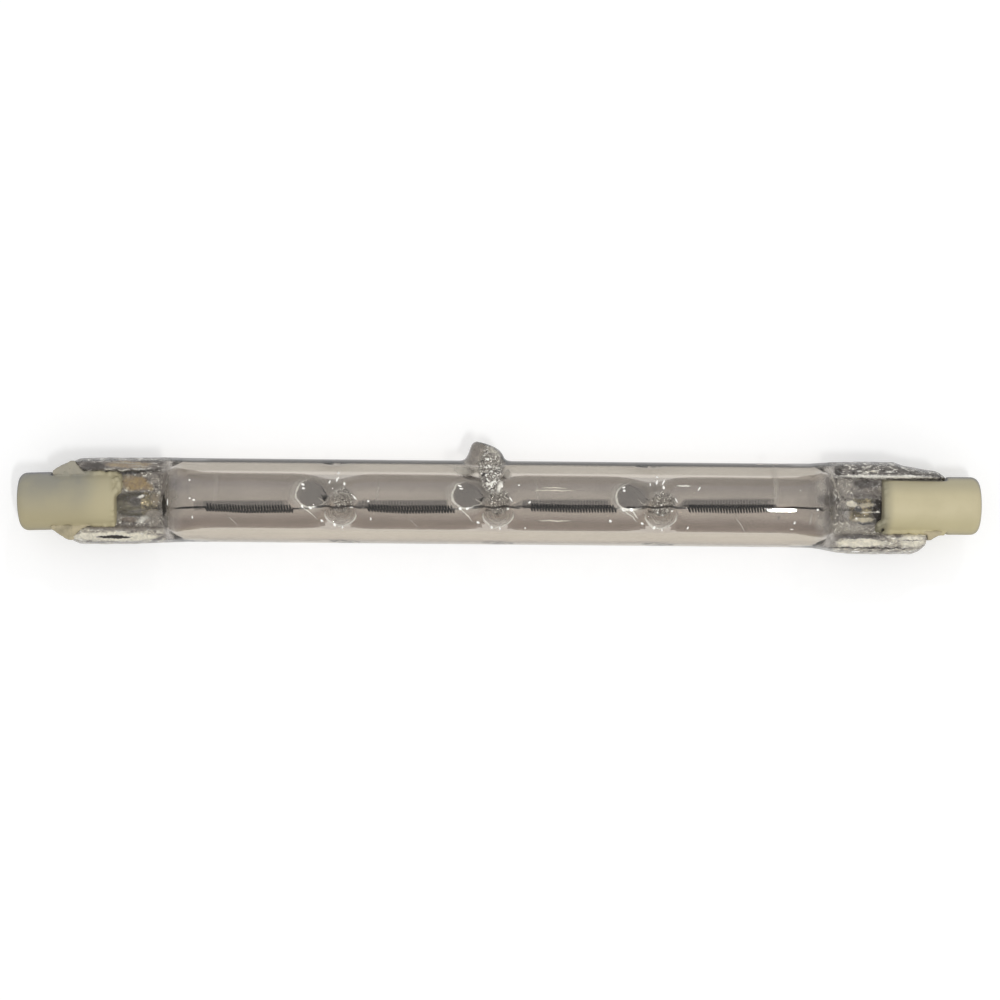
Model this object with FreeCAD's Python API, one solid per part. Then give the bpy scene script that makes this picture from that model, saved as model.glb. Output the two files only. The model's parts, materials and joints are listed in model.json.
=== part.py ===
# Linear halogen bulb, double ended: a quartz tube closed by flat pinch seals, a slotted
# ceramic cap on each end, and one coiled filament that dents in the tube's wall hold.
# Frame: the tube's axis is X, the exhaust tip points along +Y and the flat faces of the
# pinch seals look along +Z. The origin is on the axis, midway between the two end faces.
import FreeCAD
import Part
import math
import os

Vector = FreeCAD.Vector
ALONG = Vector(1, 0, 0)
UP = Vector(0, 0, 1)

# Driving dimensions, in millimetres
overall_length = 117.6
tube_diameter = 10.3
bore_diameter = 6.8
cap_diameter = 7.1
cap_length = 12.0
contact_recess = 1.7

# Pinch seals: a thin flat web with a thick rail along each edge
web_thickness = 2.2
web_end = 53.8
rail_thickness = 4.6
rail_gap = 6.6
rail_start = 38.5
rail_crown = 4.3
rail_flank = (5.3, 1.93)
rail_rim = (6.1, 0.92)

# Outer form of the tube's shoulders: distance from mid-length, half width, half height
shoulder_sections = [
    (36.6, 5.15, 5.15), (37.8, 5.16, 5.02), (39.2, 5.18, 4.35),
    (40.4, 5.15, 3.10), (41.4, 5.05, 1.95), (42.6, 4.90, 1.05),
]

# The bore's closed end, which flattens into a slit: the same three figures
bore_end_sections = [
    (33.5, 3.40, 3.40), (35.5, 3.46, 3.36), (37.2, 3.62, 3.00),
    (38.6, 3.92, 2.10), (39.6, 4.20, 1.10), (40.4, 4.45, 0.25),
]

# Dents that hold the filament, in pairs: one in the front face, one behind, a little aside
dent_places = [-19.4, -0.4, 19.4]
front_dent_radius = 1.9
front_dent_side = -0.7
rear_dent_radius = 1.8
rear_dent_side = 1.1
rear_dent_shift = -3.6
dent_wall = 1.5
dent_gap = 0.12
dent_bluntness = 0.4
bore_neck = 0.40
neck_reach = 3.4

# Exhaust tip: height, middle, half length and half depth of each section of the nub
tip_sections = [
    (4.0, -1.90, 2.75, 2.30), (5.2, -1.85, 2.50, 2.10), (6.2, -1.80, 2.00, 1.75),
    (6.9, -1.95, 1.55, 1.30), (7.3, -2.35, 0.85, 0.75), (7.5, -2.75, 0.30, 0.28),
]

# Filament: one wire, wound in four stretches
wire_diameter = 0.18
coil_diameter = 0.95
coil_pitch = 0.35
coil_facets = 10
coil_ends = [(-36.0, -25.2), (-16.1, -5.4), (3.8, 14.3), (23.5, 34.3)]
coil_sides = [-1.00, -0.92, -0.50, -0.25]
leg_middles = [(-20.7, -0.58), (-0.8, -0.58), (18.8, -0.35)]
lead_sides = (-0.90, -0.40)

# Metal in the pinch seals
foil_thickness = 0.10
foil_width = 3.0
foil_side = -0.57
foil_inner_end = 43.4
foil_outer_end = 51.0
tab_thickness = 0.12
outer_lead_diameter = 0.8
outer_lead_start = 49.0
weld_depth = 0.04

# Ceramic caps
slot_height = 2.7
slot_depth = 7.4
fork_width = 6.1
fork_length = 8.0
cap_edge_radius = 1.0
recess_diameter = 3.6
recess_chamfer = 0.15
seat_rim = 0.1
contact_diameter = 3.2
contact_thickness = 1.0
contact_dome = 0.3
lead_hole_diameter = 1.8

# Cement: how far it stays inside the slot's mouth, and below the rails' faces
cement_setback = 0.5
cement_inset = 0.3


class End:
    """One end of the bulb: which way it points, and its own measured places."""

    def __init__(self, name, sign, cap_side, cap_tilt, tab, rails, cement):
        self.name = name
        self.sign = sign
        self.cap_side = cap_side
        self.cap_tilt = cap_tilt
        self.tab = tab
        self.rails = rails
        self.cement = cement


# Outlines are (x, y) corners seen from above. The rails of the right end are broken off
# short, the upper one on a slope.
left_upper_rail = [
    (-rail_start, 3.3), (-rail_start, 4.6), (-41.5, 5.15), (-44.0, 5.1), (-51.3, 5.0),
    (-52.0, 4.75), (-50.7, 3.3),
]
left_lower_rail = [
    (-rail_start, -3.3), (-rail_start, -4.6), (-41.0, -5.15), (-44.0, -5.4),
    (-51.4, -5.5), (-52.1, -5.2), (-50.3, -3.3),
]
right_upper_rail = [
    (rail_start, 3.3), (rail_start, 4.6), (40.5, 5.35), (48.2, 5.45), (49.3, 5.05),
    (51.5, 4.6), (53.6, 4.4), (54.6, 3.7), (54.3, 3.3),
]
right_lower_rail = [
    (rail_start, -3.3), (rail_start, -4.6), (41.5, -5.8), (44.0, -5.9), (50.4, -5.85),
    (51.5, -5.5), (52.1, -5.0), (52.3, -4.3), (52.3, -3.3),
]
left_cement = [
    [(-54.5, 2.9), (-54.5, 3.45), (-52.4, 4.62), (-50.8, 4.62), (-50.4, 2.9)],
    [(-54.6, -2.9), (-54.6, -3.75), (-52.6, -5.0), (-50.6, -5.0), (-49.6, -2.9)],
]
right_cement = [
    [(51.8, -2.9), (51.8, -4.1), (52.6, -4.1), (54.1, -3.3), (54.1, -2.9)],
]

ENDS = [
    End("left", -1, cap_side=0.0, cap_tilt=2.0, tab=(41.4, 43.9),
        rails=[left_upper_rail, left_lower_rail], cement=left_cement),
    End("right", 1, cap_side=0.13, cap_tilt=0.0, tab=(42.8, 45.7),
        rails=[right_upper_rail, right_lower_rail], cement=right_cement),
]

# Worked out from the driving dimensions
half_length = overall_length / 2
tube_radius = tube_diameter / 2
bore_radius = bore_diameter / 2
cap_radius = cap_diameter / 2
wire_radius = wire_diameter / 2
coil_radius = coil_diameter / 2
recess_radius = recess_diameter / 2
contact_radius = contact_diameter / 2
tab_top = weld_depth - wire_radius
foil_top = tab_top - tab_thickness


def centred_box(x_low, x_high, y_low, y_high, z_low, z_high):
    """A box between two corners, given in any order."""
    low = Vector(min(x_low, x_high), min(y_low, y_high), z_low)
    return Part.makeBox(abs(x_high - x_low), abs(y_high - y_low), z_high - z_low, low)


def oval_wire(centre, long_axis, short_axis):
    """A closed elliptical or circular wire in two halves; its half axes are vectors."""
    if long_axis.Length > short_axis.Length:
        curve = Part.Ellipse(centre + long_axis, centre + short_axis, centre)
        half_turn = math.pi
        return Part.Wire([curve.toShape(0, half_turn), curve.toShape(half_turn, 2 * half_turn)])
    near = Part.Arc(centre + long_axis, centre + short_axis, centre - long_axis)
    far = Part.Arc(centre - long_axis, centre - short_axis, centre + long_axis)
    return Part.Wire([near.toShape(), far.toShape()])


def section_loft(sections, sign):
    """A solid through flattened round sections along X, towards one end of the bulb."""
    wires = [
        oval_wire(Vector(sign * x, 0, 0), Vector(0, wide, 0), Vector(0, 0, high))
        for x, wide, high in sections
    ]
    return Part.makeLoft(wires, True, True)


def prism(outline, z_low, z_high):
    """A closed (x, y) outline, extruded between two heights."""
    points = [Vector(x, y, z_low) for x, y in outline]
    face = Part.Face(Part.makePolygon(points + points[:1]))
    return face.extrude(Vector(0, 0, z_high - z_low))


def round_punch(x, y, radius, tip, facing):
    """A round-ended rod across the tube; its tip stands this far from the axis."""
    centre = Vector(x, y, facing * (tip + radius))
    shank = Part.makeCylinder(radius, tube_diameter, centre, UP * facing)
    return fused([shank, Part.makeSphere(radius, centre)])


def blunt_punch(x, y, radius, tip, facing):
    """A blunt cone across the tube, as wide as given where it leaves the tube."""
    foot = Vector(x, y, facing * tip)
    return Part.makeCone(radius * dent_bluntness, radius, tube_radius - tip, foot, UP * facing)


def fused(shapes):
    """Several solids as one."""
    return shapes[0].multiFuse(shapes[1:]).removeSplitter()


def one_solid(shape, name):
    """The single solid that a finished piece must be."""
    solids = shape.Solids
    if len(solids) != 1 or not solids[0].isValid():
        volumes = [(round(s.Volume, 3), s.BoundBox) for s in solids]
        raise RuntimeError("%s should be one valid solid: %s" % (name, volumes))
    return solids[0]


def dents(punch, wall):
    """The six dents as punches, to cut the tube or, grown by the wall, to cut the bore."""
    tip = dent_gap + dent_wall - wall
    shapes = []
    for x in dent_places:
        shapes.append(punch(x, front_dent_side, front_dent_radius + wall, tip, 1))
        rear_x = x + rear_dent_shift
        shapes.append(punch(rear_x, rear_dent_side, rear_dent_radius + wall, tip, -1))
    return shapes


def rail_section(side):
    """The rounded cross-section of a rail, run along the whole bulb."""
    def corner(y, z):
        return Vector(-half_length, side * y, z)

    inner = rail_gap / 2
    half = rail_thickness / 2
    flank_y, flank_z = rail_flank
    rim_y, rim_z = rail_rim
    upper = Part.Arc(corner(rail_crown, half), corner(flank_y, flank_z), corner(rim_y, rim_z))
    lower = Part.Arc(corner(rim_y, -rim_z), corner(flank_y, -flank_z),
                     corner(rail_crown, -half))
    wire = Part.Wire([
        Part.makeLine(corner(inner, half), corner(rail_crown, half)),
        upper.toShape(),
        Part.makeLine(corner(rim_y, rim_z), corner(rim_y, -rim_z)),
        lower.toShape(),
        Part.makeLine(corner(rail_crown, -half), corner(inner, -half)),
        Part.makeLine(corner(inner, -half), corner(inner, half)),
    ])
    return Part.Face(wire).extrude(Vector(overall_length, 0, 0))


def pinch_seal(end):
    """The flat web and the two rails of one end."""
    web = centred_box(end.sign * rail_start, end.sign * web_end,
                      -rail_gap / 2, rail_gap / 2, -web_thickness / 2, web_thickness / 2)
    rails = []
    for outline in end.rails:
        side = math.copysign(1, outline[0][1])
        block = prism(outline, -rail_thickness, rail_thickness)
        rails.append(block.common(rail_section(side)))
    return fused([web] + rails)


def exhaust_tip():
    """The nub where the exhaust tube was melted off."""
    wires = [
        oval_wire(Vector(x, y, 0), Vector(half_x, 0, 0), Vector(0, 0, half_z))
        for y, x, half_x, half_z in tip_sections
    ]
    return Part.makeLoft(wires, True, True)


def glass_outside():
    """The solid outer form of the quartz tube with its seals and tip."""
    straight = shoulder_sections[0][0]
    tube = Part.makeCylinder(tube_radius, 2 * straight, Vector(-straight, 0, 0), ALONG)
    shapes = [tube, exhaust_tip()]
    for end in ENDS:
        shapes.append(section_loft(shoulder_sections, end.sign))
        shapes.append(pinch_seal(end))
    return fused(shapes)


def bore_profile():
    """Half the bore's lengthwise section, a little narrower at each pair of dents."""
    straight = bore_end_sections[0][0]
    points = [(-straight, 0), (-straight, bore_radius)]
    for place in dent_places:
        middle = place + rear_dent_shift / 2
        points.append((middle - neck_reach, bore_radius))
        points.append((middle, bore_radius - bore_neck))
        points.append((middle + neck_reach, bore_radius))
    points += [(straight, bore_radius), (straight, 0)]
    corners = [Vector(x, y, 0) for x, y in points]
    return Part.Face(Part.makePolygon(corners + corners[:1]))


def glass_inside():
    """The sealed space inside the tube."""
    middle = bore_profile().revolve(Vector(0, 0, 0), ALONG, 360)
    space = fused([middle] + [section_loft(bore_end_sections, e.sign) for e in ENDS])
    for dent in dents(blunt_punch, dent_wall):
        space = space.cut(dent)
    return space


def glass_envelope(metal, caps):
    """The quartz envelope, moulded round the metal in its seals and clear of the caps."""
    glass = glass_outside()
    for dent in dents(round_punch, 0.0):
        glass = glass.cut(dent)
    glass = glass.cut(glass_inside())
    for piece in metal + caps:
        glass = glass.cut(piece)
    return glass


def ring(x, y, radius):
    """A many-sided ring around a coil's axis."""
    corners = []
    for side in range(coil_facets):
        angle = 2 * math.pi * side / coil_facets
        corners.append(Vector(x, y + radius * math.cos(angle), radius * math.sin(angle)))
    return Part.makePolygon(corners + corners[:1])


def coil(x_start, x_end, y):
    """A wound stretch: a ridge for each turn, round its own axis."""
    turns = round((x_end - x_start) / coil_pitch)
    pitch = (x_end - x_start) / turns
    root = coil_radius - wire_diameter
    rings = [ring(x_start, y, root)]
    for turn in range(turns):
        rings.append(ring(x_start + (turn + 0.5) * pitch, y, coil_radius))
        rings.append(ring(x_start + (turn + 1) * pitch, y, root))
    return Part.makeLoft(rings, True, True)


def wire_run(points):
    """A thin wire through several points, in straight runs with round joints."""
    shapes = []
    for start, stop in zip(points, points[1:]):
        run = stop - start
        shapes.append(Part.makeCylinder(wire_radius, run.Length, start, run))
    for joint in points[1:-1]:
        shapes.append(Part.makeSphere(wire_radius, joint))
    return fused(shapes) if len(shapes) > 1 else shapes[0]


def filament():
    """The whole filament: leads, coils and the legs between them."""
    overlap = coil_pitch
    shapes = []
    for (x_start, x_end), y in zip(coil_ends, coil_sides):
        shapes.append(coil(x_start, x_end, y))
    left, right = ENDS
    first = Vector(coil_ends[0][0] + overlap, coil_sides[0], 0)
    last = Vector(coil_ends[-1][1] - overlap, coil_sides[-1], 0)
    left_lead_end = Vector(-left.tab[1] + overlap, lead_sides[0], 0)
    right_lead_end = Vector(right.tab[1] - overlap, lead_sides[1], 0)
    shapes.append(wire_run([left_lead_end, first]))
    for index, (x, y) in enumerate(leg_middles):
        start = Vector(coil_ends[index][1] - overlap, coil_sides[index], 0)
        stop = Vector(coil_ends[index + 1][0] + overlap, coil_sides[index + 1], 0)
        shapes.append(wire_run([start, Vector(x, y, 0), stop]))
    shapes.append(wire_run([last, right_lead_end]))
    wire = fused(shapes)
    for end in ENDS:
        wire = wire.cut(weld_tab(end))
    return wire


def foil(end):
    """The thin metal foil that carries the current through one seal."""
    return centred_box(end.sign * foil_inner_end, end.sign * foil_outer_end,
                       foil_side - foil_width / 2, foil_side + foil_width / 2,
                       foil_top - foil_thickness, foil_top)


def weld_tab(end):
    """The tab under the wire's end, welded to the top of the foil."""
    inner, outer = end.tab
    return centred_box(end.sign * inner, end.sign * outer,
                       foil_side - foil_width / 2, foil_side + foil_width / 2,
                       foil_top, tab_top)


def outer_lead(end, contact):
    """The stiff wire welded into the foil's top, ending flush on the contact's back."""
    radius = outer_lead_diameter / 2
    start = Vector(end.sign * outer_lead_start, 0, foil_top + radius - weld_depth)
    contact_middle = half_length - contact_recess - contact_dome - contact_thickness / 2
    length = contact_middle - outer_lead_start
    lead = Part.makeCylinder(radius, length, start, ALONG * end.sign)
    return lead.cut(contact).cut(foil(end))


def placed_at_end(shape, end):
    """Moves a cap-side piece, made pointing along +X from the cap's inner end, to its end."""
    tilt = math.radians(end.cap_tilt)
    face_radius = cap_radius - cap_edge_radius
    reach = cap_length * math.cos(tilt) + face_radius * math.sin(tilt)
    if end.sign < 0:
        shape.rotate(Vector(0, 0, 0), UP, 180)
    shape.rotate(Vector(0, 0, 0), UP, end.cap_tilt)
    shape.translate(Vector(end.sign * (half_length - reach), end.cap_side, 0))
    return shape


def ceramic_cap(end):
    """A round cap whose slotted, flat-sided inner half straddles the pinch seal."""
    body = Part.makeCylinder(cap_radius, cap_length, Vector(0, 0, 0), ALONG)
    rims = [edge for edge in body.Edges if edge.Closed]
    body = body.makeFillet(cap_edge_radius, rims)
    for side in (-1, 1):
        flat = centred_box(0, fork_length, side * fork_width / 2, side * cap_diameter,
                           -cap_radius, cap_radius)
        body = body.cut(flat)
    slot = centred_box(0, slot_depth, -cap_diameter, cap_diameter,
                       -slot_height / 2, slot_height / 2)
    body = body.cut(slot)
    recess_bottom = cap_length - contact_recess + seat_rim
    recess = Part.makeCylinder(recess_radius, cap_length, Vector(recess_bottom, 0, 0), ALONG)
    body = body.cut(recess)
    seat_bottom = cap_length - contact_recess - contact_dome - contact_thickness
    seat = Part.makeCylinder(contact_radius, cap_length, Vector(seat_bottom, 0, 0), ALONG)
    body = body.cut(seat)
    mouth = Part.makeCone(recess_radius, recess_radius + recess_chamfer, recess_chamfer,
                          Vector(cap_length - recess_chamfer, 0, 0), ALONG)
    body = body.cut(mouth)
    hole = Part.makeCylinder(lead_hole_diameter / 2, seat_bottom, Vector(0, 0, 0), ALONG)
    body = body.cut(hole)
    return placed_at_end(body, end)


def contact_button(end):
    """The domed metal contact, sunk in its seat below the cap's recess."""
    back = cap_length - contact_recess - contact_dome - contact_thickness
    disc = Part.makeCylinder(contact_radius, contact_thickness, Vector(back, 0, 0), ALONG)
    front = back + contact_thickness
    ball_radius = (contact_radius ** 2 + contact_dome ** 2) / (2 * contact_dome)
    ball = Part.makeSphere(ball_radius, Vector(front + contact_dome - ball_radius, 0, 0))
    dome = ball.common(centred_box(front, front + contact_dome, -contact_radius,
                                   contact_radius, -contact_radius, contact_radius))
    return placed_at_end(fused([disc, dome]), end)


def cement(end, neighbours):
    """The cement in the cap's slot, and the fillets where it was smoothed at the rails."""
    inner_end = half_length - cap_length
    fill = centred_box(end.sign * (inner_end + cement_setback),
                       end.sign * (inner_end + slot_depth),
                       -rail_gap / 2, rail_gap / 2, -slot_height / 2, slot_height / 2)
    fillet_height = rail_thickness / 2 - cement_inset
    fillets = [prism(outline, -fillet_height, fillet_height) for outline in end.cement]
    paste = fused([fill] + fillets)
    for piece in neighbours:
        paste = paste.cut(piece)
    return paste


def build():
    """All the pieces, by name."""
    pieces = {"filament": filament()}
    for end in ENDS:
        contact = contact_button(end)
        pieces["contact_button_" + end.name] = contact
        pieces["ceramic_cap_" + end.name] = ceramic_cap(end)
        pieces["foil_" + end.name] = foil(end)
        pieces["weld_tab_" + end.name] = weld_tab(end)
        pieces["outer_lead_" + end.name] = outer_lead(end, contact)
    metal = [shape for name, shape in pieces.items() if "cap" not in name]
    caps = [shape for name, shape in pieces.items() if "cap" in name]
    glass = glass_envelope(metal, caps)
    for end in ENDS:
        pieces["cement_" + end.name] = cement(end, [glass] + metal + caps)
    pieces["glass_envelope"] = glass
    return pieces


os.makedirs("parts", exist_ok=True)
for name, shape in build().items():
    solid = one_solid(shape, name)
    solid.exportStep("parts/%s.step" % name)
    print("%-22s volume %9.3f mm3" % (name, solid.Volume))
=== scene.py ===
"""Linear halogen bulb: the looks of its quartz, wire, ceramic and cement."""

import json
import math
from collections import namedtuple

import bmesh
import bpy
import numpy as np
from mathutils import Matrix, Vector, noise


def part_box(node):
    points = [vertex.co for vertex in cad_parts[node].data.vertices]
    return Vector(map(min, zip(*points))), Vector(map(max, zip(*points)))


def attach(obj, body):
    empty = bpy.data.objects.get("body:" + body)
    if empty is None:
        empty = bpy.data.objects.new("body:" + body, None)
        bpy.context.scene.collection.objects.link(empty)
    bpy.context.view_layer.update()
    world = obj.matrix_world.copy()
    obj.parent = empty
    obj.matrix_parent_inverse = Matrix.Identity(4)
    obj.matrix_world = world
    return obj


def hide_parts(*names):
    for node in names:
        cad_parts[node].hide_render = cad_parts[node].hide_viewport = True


bl_info = {
    "name": "Linear Halogen Bulb",
    "version": (1, 0, 0),
    "blender": (4, 5, 0),
    "location": "View3D > Sidebar > Halogen Bulb",
    "description": "Builds a double-ended halogen bulb around its packed solids",
    "category": "Add Mesh",
}

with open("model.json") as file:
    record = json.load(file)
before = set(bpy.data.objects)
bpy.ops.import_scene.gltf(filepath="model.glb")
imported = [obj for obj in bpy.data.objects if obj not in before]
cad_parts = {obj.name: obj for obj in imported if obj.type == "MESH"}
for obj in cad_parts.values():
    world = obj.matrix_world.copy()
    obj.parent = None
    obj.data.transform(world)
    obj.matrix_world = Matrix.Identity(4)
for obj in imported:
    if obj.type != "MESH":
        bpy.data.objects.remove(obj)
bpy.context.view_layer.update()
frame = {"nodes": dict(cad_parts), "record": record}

MM = 0.001
BODY = "root"
SLOTS = [entry["slot"] for entry in frame["record"]["materials"]]
GLASS_LOW, GLASS_HIGH = (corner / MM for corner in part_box("glass_envelope"))

# Sizes and places are in millimetres, from the middle of the bulb. The quartz's skin stays
# a little inside its solid.
skin_margin = 0.002
tube_radius = min(GLASS_HIGH.z, -GLASS_LOW.z) - skin_margin
rail_inner = 3.3
outline_start = 35.0
tube_end = 35.6
seal_start = 38.2

# The dents' places along the bulb, and the borders between the stretches that they rule
dent_places = [-19.4, -0.4, 19.4]
dent_borders = [-11.0, 8.0]

# The dents of one face: their shift from those places, their side, how far they are drawn
# out along the bulb, their reach and depth, and the height of the shallow rings round them
Dents = namedtuple("Dents", "shift side drawn reach depth ring_height")
front_dents = Dents(0.0, -0.7, 1.05, 2.1, 2.3, 0.035)
rear_dents = Dents(-3.6, 1.1, 1.15, 2.0, 2.3, 0.0)
bore_front_dents = front_dents._replace(reach=1.75, depth=3.15)
bore_rear_dents = rear_dents._replace(reach=1.75, depth=3.0)

# Half of a dent's profile: how far from its middle, in reaches, and its share of the depth
dent_profile = [
    (0.0, 1.0), (0.3, 0.93), (0.55, 0.68), (0.75, 0.40), (1.0, 0.14), (1.25, 0.03), (1.5, 0.0),
]

# Sections of the tube's flattened shoulders and of the bore's closed ends: distance from
# the middle, half width, half height
shoulder_sections = [
    (tube_end, 5.15, 5.15), (36.6, 5.15, 5.14), (37.8, 5.16, 4.98), (39.2, 5.18, 4.30),
    (40.4, 5.15, 3.05), (41.4, 5.05, 1.95), (42.6, 4.90, 1.25), (44.5, 4.60, 0.90),
]
bore_end_sections = [
    (33.5, 3.40, 3.40), (36.0, 3.42, 3.34), (37.6, 3.46, 3.00), (38.9, 3.55, 2.35),
    (39.7, 3.62, 1.60), (40.2, 3.60, 0.95), (40.5, 3.50, 0.45), (40.6, 3.30, 0.20),
]

# Outlines of the pinch seals seen from above: (distance from the middle, side)
left_upper_edge = [
    (outline_start, 5.15), (38.5, 5.15), (41.5, 5.18), (44.0, 5.10), (47.5, 5.10), (51.3, 5.0),
    (52.0, 4.75), (52.05, 3.3), (54.0, 3.3),
]
left_lower_edge = [
    (outline_start, 5.15), (38.2, 5.15), (41.0, 5.28), (44.0, 5.45), (48.0, 5.55), (51.4, 5.5),
    (52.1, 5.2), (52.15, 3.3), (54.0, 3.3),
]
right_upper_edge = [
    (outline_start, 5.15), (38.0, 5.16), (40.5, 5.35), (44.0, 5.45), (48.2, 5.45), (49.3, 5.10),
    (51.5, 4.65), (53.6, 4.4), (54.55, 3.75), (54.6, 3.6),
]
right_lower_edge = [
    (outline_start, 5.15), (38.0, 5.17), (39.5, 5.35), (41.5, 5.75), (44.0, 5.90), (50.4, 5.85),
    (51.5, 5.5), (52.1, 5.0), (52.3, 4.3), (52.35, 3.3), (53.8, 3.3), (53.85, -3.2),
    (54.6, -3.2),
]

# The exhaust tip's outline seen from above: (place along the bulb, side)
tip_outline = [
    (-5.3, 5.13), (-4.6, 5.17), (-4.2, 5.34), (-3.9, 5.82), (-3.72, 6.32), (-3.58, 6.72),
    (-3.42, 7.1), (-3.15, 7.38), (-2.8, 7.5), (-2.4, 7.42), (-1.8, 7.28), (-1.2, 7.08),
    (-0.6, 6.82), (0.0, 6.45), (0.4, 5.95), (0.62, 5.45), (0.95, 5.22), (1.6, 5.13),
]

# Colours of stains in the quartz, and of the shade and highlights painted on it. An opaque film
# carries its cover where a colour has its blue, so its blue follows from its red and green. BLANK
# covers nothing.
BLANK = (0.40, 0.37, 0.0)
INK = (0.025, 0.021, 0.020)
LENS_SHADE = (0.44, 0.425, 0.41)
SHADE = (0.135, 0.120, 0.11)
STONE = (0.215, 0.190, 0.18)
ASH = (0.320, 0.288, 0.26)
PURPLE = (0.090, 0.081, 0.08)
TAN = (0.330, 0.265, 0.17)
RUST = (0.330, 0.240, 0.13)
OLIVE = (0.200, 0.162, 0.10)
MOSS = (0.175, 0.153, 0.12)
PEARL = (0.42, 0.385, 0.35)
BLUE_HIGHLIGHT = (0.33, 0.33, 0.37)
MILK = (0.88, 0.85, 0.80)
CREAM = (0.76, 0.71, 0.63)
BRASS = (0.540, 0.480, 0.35)
BOTTLE = (0.045, 0.048, 0.04)

# Red and green of a film's painted light: glints, sparkle, lens highlights, pale and dark
# rings, and a dark line where a wire's leg shows through
GLINT = (1.0, 0.98)
FROTH = (1.0, 0.97)
SPARKLE = (0.99, 0.96)
LENS_EDGE = (0.74, 0.71)
LENS_GLOW = (0.62, 0.59)
RING_DARK = (0.15, 0.135)
RING_PALE = (0.50, 0.47)
RING_RIM = (0.85, 0.82)
PAINTED_LEG_LINE = (0.03, 0.026)

# Crackled faces: the red and green of a film at each level of its grain
web_shades = [
    (0.36, 0.07, 0.061), (0.43, 0.19, 0.170), (0.54, 0.31, 0.280), (0.60, 0.52, 0.480),
    (0.65, 0.95, 0.92),
]
dim_rail_shades = [
    (0.38, 0.03, 0.026), (0.47, 0.11, 0.100), (0.55, 0.26, 0.238), (0.59, 0.65, 0.62),
    (0.62, 1.0, 0.97),
]
pale_rail_shades = [
    (0.36, 0.14, 0.12), (0.45, 0.42, 0.38), (0.56, 0.66, 0.61), (0.64, 0.95, 0.92),
]
dent_shades = [
    (0.38, 0.04, 0.034), (0.45, 0.15, 0.133), (0.54, 0.27, 0.24), (0.59, 0.60, 0.56),
    (0.63, 1.0, 0.97),
]
tip_shades = [
    (0.38, 0.04, 0.034), (0.45, 0.22, 0.19), (0.52, 0.42, 0.38), (0.57, 0.70, 0.66),
    (0.61, 1.0, 0.98),
]

# Painted light and shade across the tube, in place of the bands that refraction makes:
# what the quartz lets through, from its lower edge, 0, to its upper, 1
painted_glass_bands = [
    (0.0, (0.83, 0.78, 0.68)), (0.146, (0.86, 0.81, 0.72)), (0.18, (0.70, 0.66, 0.65)),
    (0.25, (0.69, 0.65, 0.645)), (0.32, (0.96, 0.94, 0.925)), (0.59, (1.0, 1.0, 1.0)),
    (0.72, (0.86, 0.86, 0.87)), (0.81, (0.76, 0.75, 0.76)), (0.85, (0.68, 0.65, 0.59)),
    (1.0, (0.68, 0.65, 0.59)),
]
seal_tone = (0.9, 0.9, 0.9)

# An oval seen from above: its middle, half length, half width and turn in degrees. A mark
# is an oval with the softness of its edge, its colour and how fully it covers.
Oval = namedtuple("Oval", "x y length width turn", defaults=(0.0,))
Mark = namedtuple("Mark", "x y length width turn soft colour cover")

# Where the metal shows through a seal, where a seal gets painted sparkle, where a dent and
# the tip are crackled, and where a dent's painted rings lie
seal_metal = {"left": Oval(-44.0, -0.65, 3.3, 1.75), "right": Oval(44.6, -0.65, 3.0, 1.65)}
left_crackle = Oval(-42.4, 0.3, 1.35, 1.25)
right_bead_row = Oval(45.9, 4.32, 3.4, 0.26)
right_outer_row = Oval(44.6, 5.02, 3.4, 0.16)
right_shoulder = Oval(38.9, 0.4, 0.75, 2.9)
tip_column = Oval(-1.05, 4.15, 1.35, 2.9)
dent_patch = Oval(0.0, 0.28, 1.5, 1.5)
dent_rings = Oval(-0.15, -1.15, 1.9, 1.72)

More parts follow.
